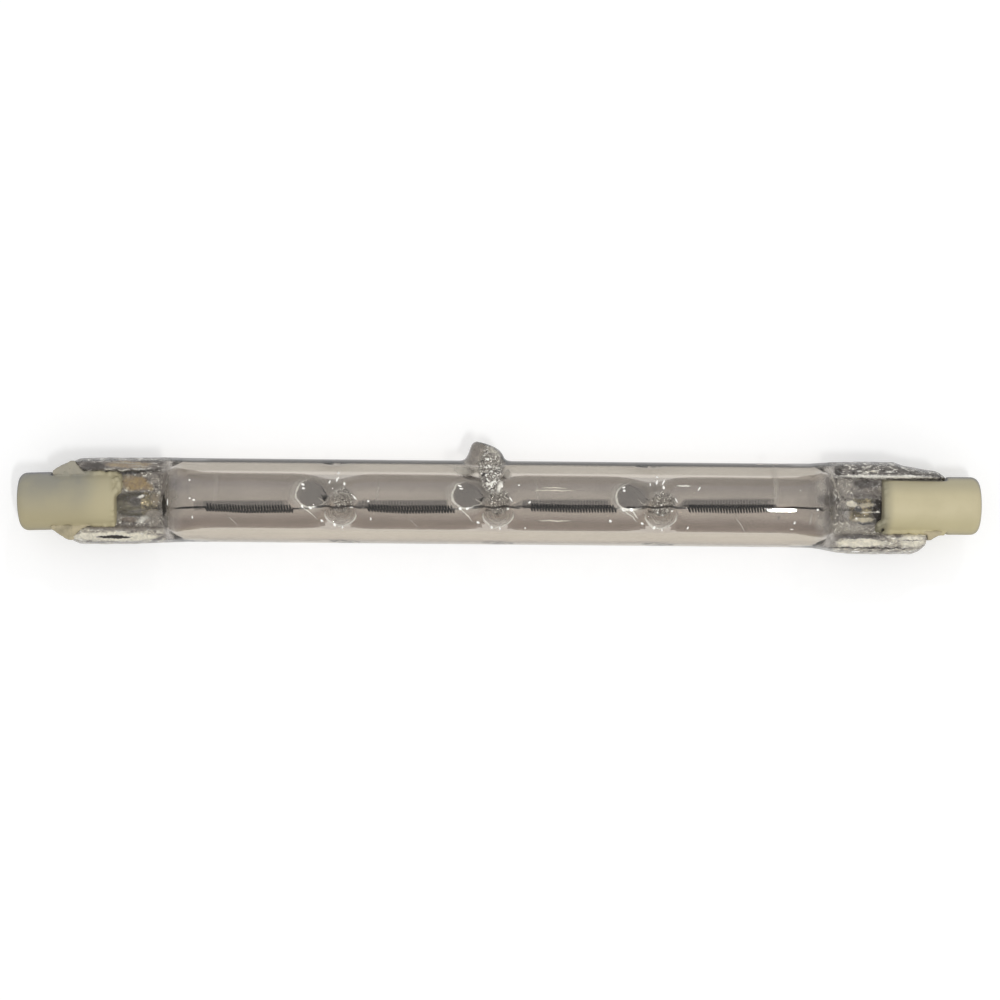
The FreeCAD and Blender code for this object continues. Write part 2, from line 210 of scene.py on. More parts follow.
left_seal_marks = [
    # The upper rail: a grey body, a tan stain and thin bright lines
    Mark(-46.3, 4.15, 5.2, 0.55, 0, 0.3, STONE, 0.75),
    Mark(-49.3, 3.98, 1.4, 0.50, 0, 0.35, PURPLE, 0.95),
    Mark(-45.2, 4.24, 2.7, 0.42, 0, 0.25, TAN, 0.95),
    Mark(-45.6, 4.42, 1.9, 0.10, -2, 0.5, PEARL, 0.8),
    Mark(-43.9, 4.05, 1.2, 0.12, 0, 0.5, PEARL, 0.7),
    Mark(-44.4, 3.32, 2.1, 0.15, 5, 0.4, BOTTLE, 0.85),
    Mark(-43.4, 4.66, 1.4, 0.09, 0, 0.4, SHADE, 0.9),
    # The web: rust and olive stains, painted shadows beside the foil and a painted highlight on it
    Mark(-44.5, 1.95, 1.55, 0.92, 0, 0.25, RUST, 0.92),
    Mark(-45.3, 2.65, 0.75, 0.35, 0, 0.5, TAN, 0.7),
    Mark(-45.2, -2.50, 1.0, 0.32, 0, 0.35, OLIVE, 0.9),
    Mark(-43.6, -2.45, 0.7, 0.30, 25, 0.7, MILK, 0.75),
    Mark(-40.75, 2.25, 0.34, 1.75, -12, 0.4, MOSS, 0.85),
    Mark(-40.6, -2.9, 0.22, 1.0, 4, 0.6, SHADE, 0.8),
    Mark(-39.6, 0.6, 0.65, 0.75, 0, 0.5, OLIVE, 0.6),
    Mark(-40.80, -0.67, 0.30, 1.35, 2, 0.2, INK, 1.0),
    Mark(-44.6, -0.25, 0.75, 0.60, 0, 0.45, INK, 0.7),
    Mark(-44.3, -1.45, 1.1, 0.16, 4, 0.5, INK, 0.7),
    Mark(-43.8, 0.36, 0.50, 0.16, 12, 0.4, MILK, 0.95),
    Mark(-42.6, -1.10, 1.5, 0.07, 3, 0.4, INK, 0.9),
    # The lower rail: a painted cream highlight with a long dark bubble in it
    Mark(-45.7, -3.52, 4.9, 0.38, 0, 0.3, STONE, 0.8),
    Mark(-46.9, -4.58, 5.4, 0.52, 0, 0.2, CREAM, 0.95),
    Mark(-46.9, -5.28, 5.0, 0.07, 0, 0.5, SHADE, 0.8),
    Mark(-46.8, -4.62, 2.1, 0.19, 0, 0.2, INK, 1.0),
    Mark(-41.6, -4.85, 1.2, 0.20, 25, 0.4, SHADE, 0.85),
    # Clouds between the foil and the tube
    Mark(-42.3, -2.8, 1.05, 0.55, 0, 0.4, ASH, 0.75),
    Mark(-42.2, -1.75, 1.0, 0.42, 0, 0.4, ASH, 0.75),
    Mark(-42.0, 2.55, 0.9, 0.65, 0, 0.5, ASH, 0.65),
    Mark(-42.9, 1.55, 0.72, 0.40, -25, 0.4, RUST, 0.7),
    Mark(-41.95, 0.0, 0.6, 0.70, 0, 0.4, TAN, 0.7),
]
right_seal_marks = [
    # The web above the foil, and dark and pale lines at the shoulder
    Mark(44.9, 2.70, 1.8, 0.55, 0, 0.3, PURPLE, 0.9),
    Mark(45.2, 1.75, 1.6, 0.50, 0, 0.5, STONE, 0.8),
    Mark(44.4, 1.30, 2.2, 0.22, -4, 0.5, SHADE, 0.8),
    Mark(40.1, 2.15, 0.42, 1.55, 10, 0.3, SHADE, 0.9),
    Mark(40.0, 0.55, 0.60, 0.90, 0, 0.4, SHADE, 0.75),
    Mark(39.9, -1.60, 0.50, 1.15, 0, 0.4, SHADE, 0.8),
    Mark(40.15, 1.0, 0.10, 1.1, 3, 0.5, PEARL, 0.7),
    Mark(40.95, 2.55, 2.25, 0.08, -67, 0.5, PEARL, 0.9),
    Mark(42.2, 2.30, 0.95, 0.95, 0, 0.6, PEARL, 0.55),
    Mark(43.5, -2.55, 2.9, 0.75, 0, 0.6, PEARL, 0.6),
    # The rails: painted cream highlights, dark lines and a painted white highlight along the upper
    # one
    Mark(43.9, -3.68, 2.9, 0.30, 0, 0.35, PURPLE, 0.9),
    Mark(44.2, -4.48, 2.85, 0.46, 0, 0.2, CREAM, 0.95),
    Mark(43.5, -4.25, 1.2, 0.05, 3, 0.5, PEARL, 0.8),
    Mark(44.6, -5.08, 5.6, 0.08, 0, 0.4, INK, 0.95),
    Mark(47.0, 3.60, 5.2, 0.19, 0, 0.4, MILK, 0.95),
    Mark(41.35, 4.15, 0.45, 0.42, 0, 0.3, INK, 0.85),
    Mark(50.4, -4.15, 1.5, 0.80, 0, 0.3, CREAM, 0.9),
    Mark(50.3, -4.10, 1.2, 0.06, 0, 0.5, INK, 0.8),
    # A painted shadow at the cap, then the foil and the tab with their painted highlights and
    # glints
    Mark(48.7, -3.45, 0.50, 0.40, 0, 0.3, SHADE, 0.9),
    Mark(46.35, -0.45, 0.62, 1.35, 0, 0.15, INK, 0.97),
    Mark(46.3, -0.72, 0.22, 0.13, 0, 0.4, MILK, 1.0),
    Mark(43.1, 0.25, 0.80, 0.40, -10, 0.4, CREAM, 0.9),
    Mark(45.0, 0.10, 0.90, 0.30, 4, 0.35, BRASS, 0.9),
    Mark(45.2, -0.75, 0.95, 0.08, 0, 0.4, CREAM, 0.9),
    Mark(44.6, -1.65, 1.3, 0.26, 3, 0.35, BRASS, 0.9),
    Mark(43.7, -1.55, 0.16, 0.14, 0, 0.4, MILK, 1.0),
    Mark(44.9, -2.15, 1.1, 0.12, 0, 0.4, BOTTLE, 0.9),
    Mark(43.9, -0.33, 0.44, 0.36, 0, 0.2, BOTTLE, 0.92),
    Mark(43.1, 0.05, 0.45, 0.16, -12, 0.4, CREAM, 0.9),
    Mark(43.95, -0.15, 0.14, 0.10, 0, 0.4, PEARL, 0.9),
    # Clouds at the shoulder and below the foil
    Mark(39.1, 2.35, 0.62, 0.80, 0, 0.8, PEARL, 0.6),
    Mark(39.9, 0.75, 1.6, 0.72, -6, 0.45, PURPLE, 0.7),
    Mark(39.0, -2.0, 0.70, 0.80, 0, 0.8, PEARL, 0.5),
    Mark(43.0, -2.9, 1.5, 0.55, 0, 0.5, PEARL, 0.6),
    # Painted glints on the upper rail
    Mark(43.9, 4.2, 0.28, 0.11, 0, 0.4, MILK, 0.8),
    Mark(45.5, 4.22, 0.75, 0.09, 0, 0.4, CREAM, 0.8),
    Mark(47.6, 4.18, 0.50, 0.10, 0, 0.4, MILK, 0.8),
]
tube_marks = [
    # The exhaust tip's grey and the painted highlights below it
    Mark(-3.5, 6.25, 1.25, 1.75, 0, 0.35, STONE, 0.85),
    Mark(0.07, 1.95, 0.26, 0.70, -20, 0.5, MILK, 0.95),
    Mark(-1.1, 2.30, 0.38, 0.16, 10, 0.4, MILK, 0.95),
    # Faint streaks across the tube
    Mark(-34.3, 1.6, 0.30, 1.7, 0, 0.8, PEARL, 0.25),
    Mark(-14.7, 1.2, 0.16, 1.2, -6, 0.8, PEARL, 0.45),
    Mark(4.6, 1.5, 0.16, 1.1, 8, 0.8, PEARL, 0.50),
    Mark(33.5, 2.1, 0.30, 2.6, 0, 0.8, PEARL, 0.45),
    # Thin pale diagonal lines below the coils
    Mark(-32.2, -2.5, 1.05, 0.05, -45, 0.7, MILK, 0.45),
    Mark(-10.4, -2.5, 1.05, 0.05, -42, 0.7, MILK, 0.40),
    Mark(29.3, -2.4, 1.25, 0.06, -58, 0.7, MILK, 0.55),
    # Painted long glints on the tube's right half
    Mark(6.7, 1.86, 1.5, 0.07, 0, 0.6, CREAM, 0.9),
    Mark(6.9, 1.52, 2.3, 0.08, 0, 0.6, CREAM, 0.9),
    Mark(6.7, -2.12, 1.9, 0.10, 0, 0.7, CREAM, 0.8),
    Mark(15.6, -0.66, 0.95, 0.16, -4, 0.5, MILK, 0.95),
    Mark(16.45, -1.25, 0.65, 0.10, -50, 0.6, MILK, 0.8),
    Mark(22.35, 2.25, 0.85, 0.12, -2, 0.5, MILK, 0.95),
    # A dark speck, pale clouds beside the tip and a line at the tube's end
    Mark(33.8, -1.55, 0.16, 0.22, 0, 0.6, SHADE, 0.8),
    Mark(-4.5, 3.85, 0.95, 0.55, -15, 0.5, PEARL, 0.8),
    Mark(1.0, 3.50, 0.45, 0.55, 25, 0.5, PEARL, 0.8),
    Mark(-0.7, 6.20, 0.85, 0.36, -28, 0.4, PEARL, 0.75),
    Mark(37.75, -1.6, 0.11, 0.75, -8, 0.5, PEARL, 0.8),
]
quartz_marks = {"left": left_seal_marks, "right": right_seal_marks, "tube": tube_marks}
# A painted bluish highlight at the left shoulder, laid into the quartz's colour
shoulder_highlight = Mark(-39.6, 1.7, 0.75, 0.95, 0, 0.6, BLUE_HIGHLIGHT, 0.55)

# The same for every dent, with x from the dent's own place: painted shade over its hollows, and its
# painted bright lines
rear_lens = Mark(-3.6, 0.95, 1.98, 1.62, 10, 0.10, LENS_SHADE, 0.95)
dent_shadows = [Mark(-1.35, 1.95, 1.35, 0.78, 6, 0.3, LENS_SHADE, 0.9), rear_lens]
dent_lines = [
    Mark(-3.9, -1.45, 1.15, 0.08, -42, 0.6, MILK, 0.75),
    Mark(-2.5, 0.05, 0.10, 0.75, 48, 0.6, PEARL, 0.6),
]

# Painted glints, small bright ovals: first at every dent and then singly
dent_glints = [
    (-4.75, 1.95, 0.22, 0.13, 0), (-4.68, 1.58, 0.22, 0.13, 0), (-1.55, 2.3, 0.10, 0.24, 0),
    (-0.62, 2.62, 0.15, 0.30, -20), (0.2, 2.15, 0.14, 0.24, 0), (1.5, 0.45, 0.11, 0.34, 35),
    (1.1, -0.78, 0.18, 0.12, 0), (-4.75, -0.68, 0.22, 0.16, -40), (-3.8, -0.8, 0.22, 0.14, -30),
    (-2.45, -2.3, 0.22, 0.14, -35), (-0.95, -2.86, 0.17, 0.22, 0), (0.05, -3.1, 0.10, 0.17, 0),
    (-0.62, 3.3, 0.15, 0.15, 0),
]
quartz_glints = [
    (-37.5, 2.4, 0.13, 0.11, 0), (-37.4, 0.2, 0.14, 0.10, 0), (-36.9, 0.0, 0.19, 0.13, 0),
    (-37.1, -2.1, 0.09, 0.20, 0), (-15.5, -2.1, 0.09, 0.20, 0), (-15.8, 0.05, 0.16, 0.14, 0),
    (2.4, 2.15, 0.14, 0.08, 0), (3.7, 0.08, 0.20, 0.13, 30), (3.2, -3.05, 0.13, 0.09, 0),
    (13.5, -2.1, 0.16, 0.20, 40), (24.2, 1.9, 0.10, 0.32, -35), (22.9, -2.85, 0.09, 0.20, -30),
    (19.9, 2.65, 0.11, 0.40, -30), (35.8, -2.1, 0.12, 0.20, -20), (35.5, -2.9, 0.24, 0.06, 0),
    (38.6, -0.5, 0.18, 0.15, 0), (-40.3, -0.3, 0.09, 0.45, 0), (19.75, -0.1, 0.10, 0.12, 0),
    (19.3, -1.0, 0.13, 0.13, 0), (19.9, -1.35, 0.12, 0.10, 0), (43.6, -5.55, 0.55, 0.07, 0),
]

# The wire: its thickness, how much thicker its legs are, and the coils' radius, pitch and
# lean, which is how far a turn's top leans back for each millimetre of its rise
wire_radius = 0.094
leg_swell = 1.3
coil_radius = 0.43
coil_pitch = 0.352
coil_lean = 0.22

# Where each coil starts and stops, then centre lines: (place along the bulb, side)
coil_ends = [(-36.0, -25.2), (-16.1, -5.4), (3.8, 14.4), (23.2, 34.3)]
coil_lines = [
    [(-36.0, -0.88), (-31.0, -1.10), (-25.2, -0.98)],
    [(-16.1, -0.78), (-11.5, -0.99), (-5.4, -0.84)],
    [(3.8, -0.53), (9.0, -0.66), (14.3, -0.60)],
    [(23.5, -0.48), (29.0, -0.55), (34.3, -0.34)],
]
leg_points = [
    [(-23.4, -0.92), (-22.0, -0.78), (-20.7, -0.55), (-19.4, -0.56), (-18.0, -0.48)],
    [(-3.9, -0.72), (-2.4, -0.66), (-0.8, -0.56), (0.6, -0.50), (2.2, -0.40)],
    [(16.0, -0.44), (17.6, -0.36), (19.4, -0.34), (21.3, -0.30)],
]
lead_points = [
    [(-37.2, -0.86), (-39.2, -0.90), (-41.2, -0.92), (-43.4, -0.94)],
    [(36.0, -0.24), (38.2, -0.30), (39.4, -0.40), (40.5, -0.33), (41.8, -0.50), (43.6, -0.62)],
]


class BulbSettings(bpy.types.PropertyGroup):
    """Sizes and colours of the bulb that a user may change."""

    quartz_tint: bpy.props.FloatVectorProperty(
        name="Quartz tint", description="What one wall of the quartz lets through",
        subtype="COLOR", default=(0.66, 0.63, 0.595))
    quartz_index: bpy.props.FloatProperty(
        name="Quartz index", description="How strongly the quartz bends light", default=1.46)
    ceramic_colour: bpy.props.FloatVectorProperty(
        name="Ceramic", description="Colour of the end caps", subtype="COLOR",
        default=(0.60, 0.53, 0.335))
    cement_colour: bpy.props.FloatVectorProperty(
        name="Cement", description="Colour of the cement at the caps", subtype="COLOR",
        default=(0.45, 0.39, 0.255))
    tungsten_colour: bpy.props.FloatVectorProperty(
        name="Tungsten", description="Colour of the wire", subtype="COLOR",
        default=(0.020, 0.017, 0.015))
    foil_colour: bpy.props.FloatVectorProperty(
        name="Foil", description="Colour of the seal foils", subtype="COLOR",
        default=(0.17, 0.16, 0.12))
    tab_colour: bpy.props.FloatVectorProperty(
        name="Weld tab", description="Colour of the welded tabs", subtype="COLOR",
        default=(0.42, 0.365, 0.235))
    contact_colour: bpy.props.FloatVectorProperty(
        name="Contact", description="Colour of the end contacts and outer leads",
        subtype="COLOR", default=(0.62, 0.60, 0.57))
    camera_width: bpy.props.FloatProperty(
        name="Picture width", description="Width of the bulb's plane that the camera sees",
        default=122.7 * MM, unit="LENGTH")
    camera_roll: bpy.props.FloatProperty(
        name="Camera roll", description="Turn of the camera about its own line of sight",
        default=math.radians(0.54), subtype="ANGLE")
    floor_colour: bpy.props.FloatVectorProperty(
        name="Floor", description="Colour of the plain floor", subtype="COLOR",
        default=(0.75, 0.75, 0.75))


def settings():
    """The scene's bulb settings."""
    return bpy.context.scene.halogen_bulb


class Socket:
    """A shader value that Python's own operators can be used on."""

    def __init__(self, tree, socket):
        self.tree = tree
        self.socket = socket

    def _math(self, operation, other, swap=False):
        pair = (other, self) if swap else (self, other)
        return self.tree.node("ShaderNodeMath", {"operation": operation},
                              {0: pair[0], 1: pair[1]})

    def __add__(self, other):
        return self._math("ADD", other)

    def __radd__(self, other):
        return self._math("ADD", other, True)

    def __sub__(self, other):
        return self._math("SUBTRACT", other)

    def __rsub__(self, other):
        return self._math("SUBTRACT", other, True)

    def __mul__(self, other):
        return self._math("MULTIPLY", other)

    def __rmul__(self, other):
        return self._math("MULTIPLY", other, True)

    def __truediv__(self, other):
        return self._math("DIVIDE", other)

    def larger(self, other):
        """The greater of two values."""
        return self._math("MAXIMUM", other)

    def above(self, other):
        """1 where the value is greater than another, else 0."""
        return self._math("GREATER_THAN", other)

    def size(self):
        """The value without its sign."""
        return self.tree.node("ShaderNodeMath", {"operation": "ABSOLUTE"}, {0: self})

    def sine(self):
        """The sine of the value, in radians."""
        return self.tree.node("ShaderNodeMath", {"operation": "SINE"}, {0: self})

    def ramp(self, low, high, start=0.0, stop=1.0):
        """Start to stop as the value goes smoothly from low to high."""
        return self.tree.node(
            "ShaderNodeMapRange", {"interpolation_type": "SMOOTHSTEP"},
            {"Value": self, "From Min": low, "From Max": high,
             "To Min": start, "To Max": stop})


def set_stops(ramp, stops):
    """Gives a colour ramp these stops and no others."""
    while len(ramp.elements) < len(stops):
        ramp.elements.new(1.0)
    for element, (position, colour) in zip(ramp.elements, stops):
        element.position = position
        element.color = (*colour, 1.0)


class Finish:
    """A material's node tree, built with one call for each node."""

    plain_stretch = (1.0, 1.0, 1.0)
    cloud_roughness = 0.55

    def __init__(self, name):
        self.material = bpy.data.materials.new(name)
        self.material.use_nodes = True
        self.nodes = self.material.node_tree.nodes
        self.links = self.material.node_tree.links
        self.nodes.clear()
        self.place = self.node("ShaderNodeTexCoord", output="Object")
        self.x, self.y, self.z = (
            self.node("ShaderNodeSeparateXYZ", inputs={0: self.place}, output=axis) / MM
            for axis in "XYZ")

    def node(self, kind, options=None, inputs=None, output=0):
        """Adds a node, sets its options and inputs, and gives one of its outputs."""
        made = self.nodes.new(kind)
        for name, value in (options or {}).items():
            if name == "stops":
                set_stops(made.color_ramp, value)
            else:
                setattr(made, name, value)
        for name, value in (inputs or {}).items():
            if isinstance(value, Socket):
                self.links.new(value.socket, made.inputs[name])
            elif made.inputs[name].type == "RGBA":
                made.inputs[name].default_value = (*value, 1.0)
            else:
                made.inputs[name].default_value = value
        return Socket(self, made.outputs[output])

    def scaled(self, scale, stretch):
        """The place counted in so many waves to a millimetre, drawn out along the axes."""
        size = tuple(scale / MM * part for part in stretch)
        return self.node("ShaderNodeMapping", inputs={"Vector": self.place, "Scale": size})

    def noise(self, scale, detail=3.0, stretch=plain_stretch, distortion=0.0, output="Fac"):
        """Cloudy noise of so many waves to a millimetre."""
        return self.node("ShaderNodeTexNoise", inputs={
            "Vector": self.scaled(scale, stretch), "Scale": 1.0, "Detail": detail,
            "Roughness": self.cloud_roughness, "Distortion": distortion}, output=output)

    def cells(self, scale, stretch=plain_stretch):
        """Distance inside cells, so many to a millimetre."""
        return self.node("ShaderNodeTexVoronoi", inputs={
            "Vector": self.scaled(scale, stretch), "Scale": 1.0}, output="Distance")

    def warped(self, scale, reach, place=None):
        """A place moved about by noise, as far as reach in millimetres."""
        noise_middle = (0.5, 0.5, 0.5)
        cloud = self.noise(scale, detail=2.0, output="Color")
        around = self.node("ShaderNodeVectorMath", {"operation": "SUBTRACT"}, {
            0: cloud, 1: noise_middle})
        step = self.node("ShaderNodeVectorMath", {"operation": "SCALE"}, {
            0: around, "Scale": 2 * reach * MM})
        return self.node("ShaderNodeVectorMath", {"operation": "ADD"}, {
            0: place or self.place, 1: step})

    def facing(self):
        """0 where the surface faces the eye, and 1 at its outline."""
        return self.node("ShaderNodeLayerWeight", inputs={"Blend": 0.5}, output="Facing")

    def ray(self, kind):
        """1 for the rays of one kind, else 0."""
        return self.node("ShaderNodeLightPath", output=kind)

    def oval(self, place, shape):
        """How far a place is from an oval's middle seen from above, 1 at its edge."""
        x, y, length, width, turn = shape[:5]
        flat = 1.0
        inside = self.node("ShaderNodeMapping", {"vector_type": "TEXTURE"}, {
            "Vector": place, "Location": (x * MM, y * MM, 0.0),
            "Rotation": (0.0, 0.0, math.radians(turn)),
            "Scale": (length * MM, width * MM, flat)})
        return self.node("ShaderNodeVectorMath", {"operation": "LENGTH"}, {0: inside},
                         output="Value")

    def cover(self, place, mark):
        """How fully an oval mark covers a place."""
        away = self.oval(place, mark)
        return away.ramp(1.0 + mark.soft, 1.0 - mark.soft, start=0.0, stop=mark.cover)

    def stain(self, colour, place, mark):
        """Lays an oval mark over a colour."""
        return self.mix(self.cover(place, mark), colour, mark.colour)

    def lay(self, film, colour, cover):
        """Lays a colour's red and green over an opaque film, and covers fully there."""
        full = 1.0
        return self.mix(cover, film, (*colour[:2], full))

    def mark(self, film, place, mark):
        """Lays an oval mark over an opaque film."""
        return self.lay(film, mark.colour, self.cover(place, mark))

    def glints(self, film, place, shapes):
        """Lays painted glints, small bright ovals, over an opaque film."""
        cover = None
        for shape in shapes:
            spot = self.oval(place, shape).ramp(1.15, 0.75)
            cover = spot if cover is None else cover.larger(spot)
        return self.lay(film, GLINT, cover)

    def film_parts(self, film):
        """A film's colour, whose blue follows from its red and green, and its cover."""
        red, green, cover = (
            self.node("ShaderNodeSeparateColor", inputs={0: film}, output=part)
            for part in ("Red", "Green", "Blue"))
        mottle = self.noise(1.9, detail=4.0, distortion=1.0).ramp(0.34, 0.66, start=0.84, stop=1.12)
        red, green = red * mottle, green * mottle
        warmth = red.ramp(0.15, 0.75, start=0.9, stop=2.6)
        blue = (green - (red - green) * warmth).larger(0.0)
        return self.node("ShaderNodeCombineColor", inputs={
            "Red": red, "Green": green, "Blue": blue}), cover

    def mix(self, share, first, second, blend="MIX"):
        """Blends two colours."""
        return self.node("ShaderNodeMix", {"data_type": "RGBA", "blend_type": blend}, {
            0: share, 6: first, 7: second}, output=2)

    def shades(self, value, stops):
        """A colour for each value from 0 to 1."""
        return self.node("ShaderNodeValToRGB", {"stops": stops}, {0: value})

    def film_shades(self, grain, rows):
        """An opaque film's colour at each level of a grain."""
        full = 1.0
        return self.shades(grain, [(level, (red, green, full)) for level, red, green in rows])

    def bump(self, height, distance, strength, normal=None):
        """A surface normal for a height, in millimetres of relief."""
        inputs = {"Height": height, "Distance": distance * MM, "Strength": strength}
        if normal is not None:
            inputs["Normal"] = normal
        return self.node("ShaderNodeBump", inputs=inputs)

    def principled(self, **inputs):
        """The main shader, with inputs named in words joined by underscores."""
        named = {name.replace("_", " ").replace("Ior", "IOR"): value
                 for name, value in inputs.items()}
        return self.node("ShaderNodeBsdfPrincipled", inputs=named)

    def blend(self, share, first, second):
        """Blends two shaders."""
        return self.node("ShaderNodeMixShader", inputs={0: share, 1: first, 2: second})

    def done(self, shader):
        """Ends the tree with a shader and gives the material."""
        output = self.nodes.new("ShaderNodeOutputMaterial")
        self.links.new(shader.socket, output.inputs["Surface"])
        return self.material


def through(value, table):
    """The table's figures at a value, with straight lines between its rows."""
    rows = np.array(table, float)
    return [np.interp(value, rows[:, 0], rows[:, column]) for column in range(1, rows.shape[1])]


def ease(value):
    """Eases 0 to 1, and stays there outside."""
    value = np.clip(value, 0.0, 1.0)
    return value * value * (3.0 - 2.0 * value)


def soft_max(first, second, blend):
    """The greater of two heights with a rounded valley between them."""
    share = np.clip(0.5 + 0.5 * (first - second) / blend, 0.0, 1.0)
    return second + (first - second) * share + blend * share * (1.0 - share)


def ripple(x, y, z, seed):
    """Smooth noise from -1 to 1 at each point."""
    points = np.stack(np.broadcast_arrays(x, y, z), -1).reshape(-1, 3)
    values = [noise.noise(Vector((px + seed, py - seed, pz + 2 * seed)))
              for px, py, pz in points]
    return np.array(values).reshape(np.broadcast(x, y, z).shape)


def assign(obj, *materials):
    """Gives an object these materials and no others."""
    obj.data.materials.clear()
    for material in materials:
        obj.data.materials.append(material)


def dress(obj, slot, *nodes):
    """Parents a finished piece to its body and hides the nodes it stands for; its slot must be one
    the record knows.
    """
    if slot not in SLOTS:
        raise RuntimeError("the record has no material slot named " + slot)
    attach(obj, BODY)
    if nodes:
        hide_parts(*nodes)


def add_object(name, data):
    """A new object in the scene."""
    obj = bpy.data.objects.new(name, data)
    bpy.context.scene.collection.objects.link(obj)
    return obj


def shade_smooth(obj):
    """Shades all faces of an object smoothly."""
    for polygon in obj.data.polygons:
        polygon.use_smooth = True
    return obj


def mesh_piece(name, points, faces):
    """A smoothly shaded mesh object from points in millimetres."""
    mesh = bpy.data.meshes.new(name)
    mesh.from_pydata([tuple(point) for point in np.asarray(points) * MM], [], faces)
    mesh.update()
    return shade_smooth(add_object(name, mesh))


def select_only(obj):
    """Makes one object the active and only selected one."""
    bpy.ops.object.select_all(action="DESELECT")
    obj.select_set(True)
    bpy.context.view_layer.objects.active = obj


def made_mesh(obj):
    """Turns an object into a mesh with its modifiers applied, shaded smoothly."""
    select_only(obj)
    bpy.ops.object.convert(target="MESH")
    return shade_smooth(bpy.context.view_layer.objects.active)


def skin(rings, inward=False):
    """Points and faces of a closed skin over equal rings, ended by a point at each end."""
    count, around = len(rings), len(rings[0])
    points = np.concatenate([rings.reshape(-1, 3), [rings[0].mean(0)], [rings[-1].mean(0)]])
    faces = []
    for ring in range(count - 1):
        for step in range(around):
            a = ring * around + step
            b = ring * around + (step + 1) % around
            faces.append((a, b, b + around, a + around))
    first, last = count * around, count * around + 1
    end = (count - 1) * around
    for step in range(around):
        after = (step + 1) % around
        faces.append((first, after, step))
        faces.append((last, end + step, end + after))
    corners = points[np.array([face[:3] for face in faces])]
    spread = np.einsum("ij,ij->", corners[:, 0], np.cross(corners[:, 1], corners[:, 2]))
    if (spread < 0) != inward:
        faces = [face[::-1] for face in faces]
    return points, faces


def dent_press(x, y, dents):
    """How far the dents of one face press it inwards at each point."""
    ring_gap, ring_reach = 0.36, 2.3
    total = np.zeros(np.broadcast(x, y).shape)
    for place in dent_places:
        away = np.hypot((x - place - dents.shift) / dents.drawn, y - dents.side)
        pressed = dents.depth * np.interp(away / dents.reach, *np.array(dent_profile).T)
        wave = dents.ring_height * np.sin(2 * math.pi * away / ring_gap)
        total = np.maximum(total, pressed) + wave * ease(ring_reach - away)
    return total


def edges_at(along, sign):
    """The outline's upper and lower sides at a distance from the middle."""
    upper, lower = ((left_upper_edge, left_lower_edge) if sign < 0
                    else (right_upper_edge, right_lower_edge))
    return through(along, upper)[0], -through(along, lower)[0]


def pinch_height(along, side, sign, upper, lower):
    """Half thickness of the pinch seal's web and rails."""
    web, rail_rise = 1.08, 1.2
    foot_overlap, foot_width = 0.20, 0.55
    slant_start, slant_length, slant_side = 50.5, 1.6, 1.1
    rounding, roundness = 1.25, 2.4
    edge = np.where(side > 0, upper, -lower)
    inner = rail_inner + slant_side * ease((along - slant_start) / slant_length) * (sign < 0)
    rise = ease((np.abs(side) - inner + foot_overlap) / foot_width)
    past = np.clip((np.abs(side) - (edge - rounding)) / rounding, 0.0, 1.0)
    return (web + rail_rise * rise) * np.sqrt(np.clip(1.0 - past ** roundness, 0.0, 1.0))


def end_height(along, side, sign, upper, lower):
    """Half thickness of the quartz where the tube flattens into its pinch seal."""
    shoulder_stop, shoulder_fade = 46.5, 4.0
    pinch_start, pinch_growth = 37.6, 1.6
    valley, least_valley = 0.35, 0.001
    edge_round = 0.5
    wide, high = through(along, shoulder_sections)
    shoulder = high * np.sqrt(np.clip(1.0 - (side / max(wide, upper, -lower)) ** 2, 0.0, 1.0))
    shoulder = shoulder * ease((shoulder_stop - along) / shoulder_fade)
    grown = ease((along - pinch_start) / pinch_growth)
    seal = pinch_height(along, side, sign, upper, lower) * grown
    height = soft_max(shoulder, seal, valley * grown + least_valley)
    middle, half = (upper + lower) / 2.0, (upper - lower) / 2.0
    inward = np.clip((half - np.abs(side - middle)) / edge_round, 0.0, 1.0)
    return height * np.sqrt(1.0 - (1.0 - inward) ** 2)


def dent_stations():
    """Places along the bulb that stand close together at the dents."""
    before, after, step = 6.4, 3.0, 0.2
    return [station for place in dent_places
            for station in np.arange(place - before, place + after, step)]


def thinned(stations, gap):
    """Stations in order, without those that stand too close to the one before."""
    stations = sorted(set(np.round(stations, 2)))
    kept = [stations[0]]
    for station in stations[1:]:
        if station - kept[-1] > gap:
            kept.append(station)
    return kept


def full_turn(around):
    """Angles all round a ring."""
    return np.linspace(0.0, 2.0 * math.pi, around, endpoint=False)


def outer_stations():
    """Places of the outer rings, closest at the dents, the tip and the seals' ends."""
    tube_step, tip_step, least_gap = 0.6, 0.13, 0.115
    seal_step, corner_step = 0.21, 0.12
    plain = list(np.arange(-36.0, 36.01, tube_step))
    tip = list(np.arange(-5.4, 1.8, tip_step))
    tube = thinned(plain + dent_stations() + tip, least_gap)
    ends = list(np.arange(36.3, 51.2, seal_step)) + list(np.arange(51.2, 52.0, corner_step))
    left_tail = [52.0, 52.05, 52.1, 52.15, 52.6, 53.4, 53.7, 53.8]
    right_tail = [
        52.0, 52.1, 52.2, 52.3, 52.35, 52.8, 53.4, 53.8, 53.86, 54.1, 54.35, 54.5, 54.6,
    ]
    left = [-station for station in ends + left_tail]
    return sorted(set(np.round(left + tube + ends + right_tail, 3)))


def outer_rings():
    """Rings of points over the quartz's outer face, from the left end to the right."""
    around = 168
    turn = full_turn(around)
    rings = []
    for x in outer_stations():
        along, sign = abs(x), -1 if x < 0 else 1
        if along <= outline_start:
            upper, lower = tube_radius, -tube_radius
        else:
            upper, lower = edges_at(along, sign)
        middle, half = (upper + lower) / 2.0, (upper - lower) / 2.0
        side = middle + half * np.cos(turn)
        if along <= tube_end:
            height = half * np.abs(np.sin(turn))
        else:
            height = end_height(along, side, sign, upper, lower)
        z = np.where(np.sin(turn) >= 0, height, -height)
        rings.append(np.stack([np.full(around, x), side, z], -1))
    return np.array(rings)


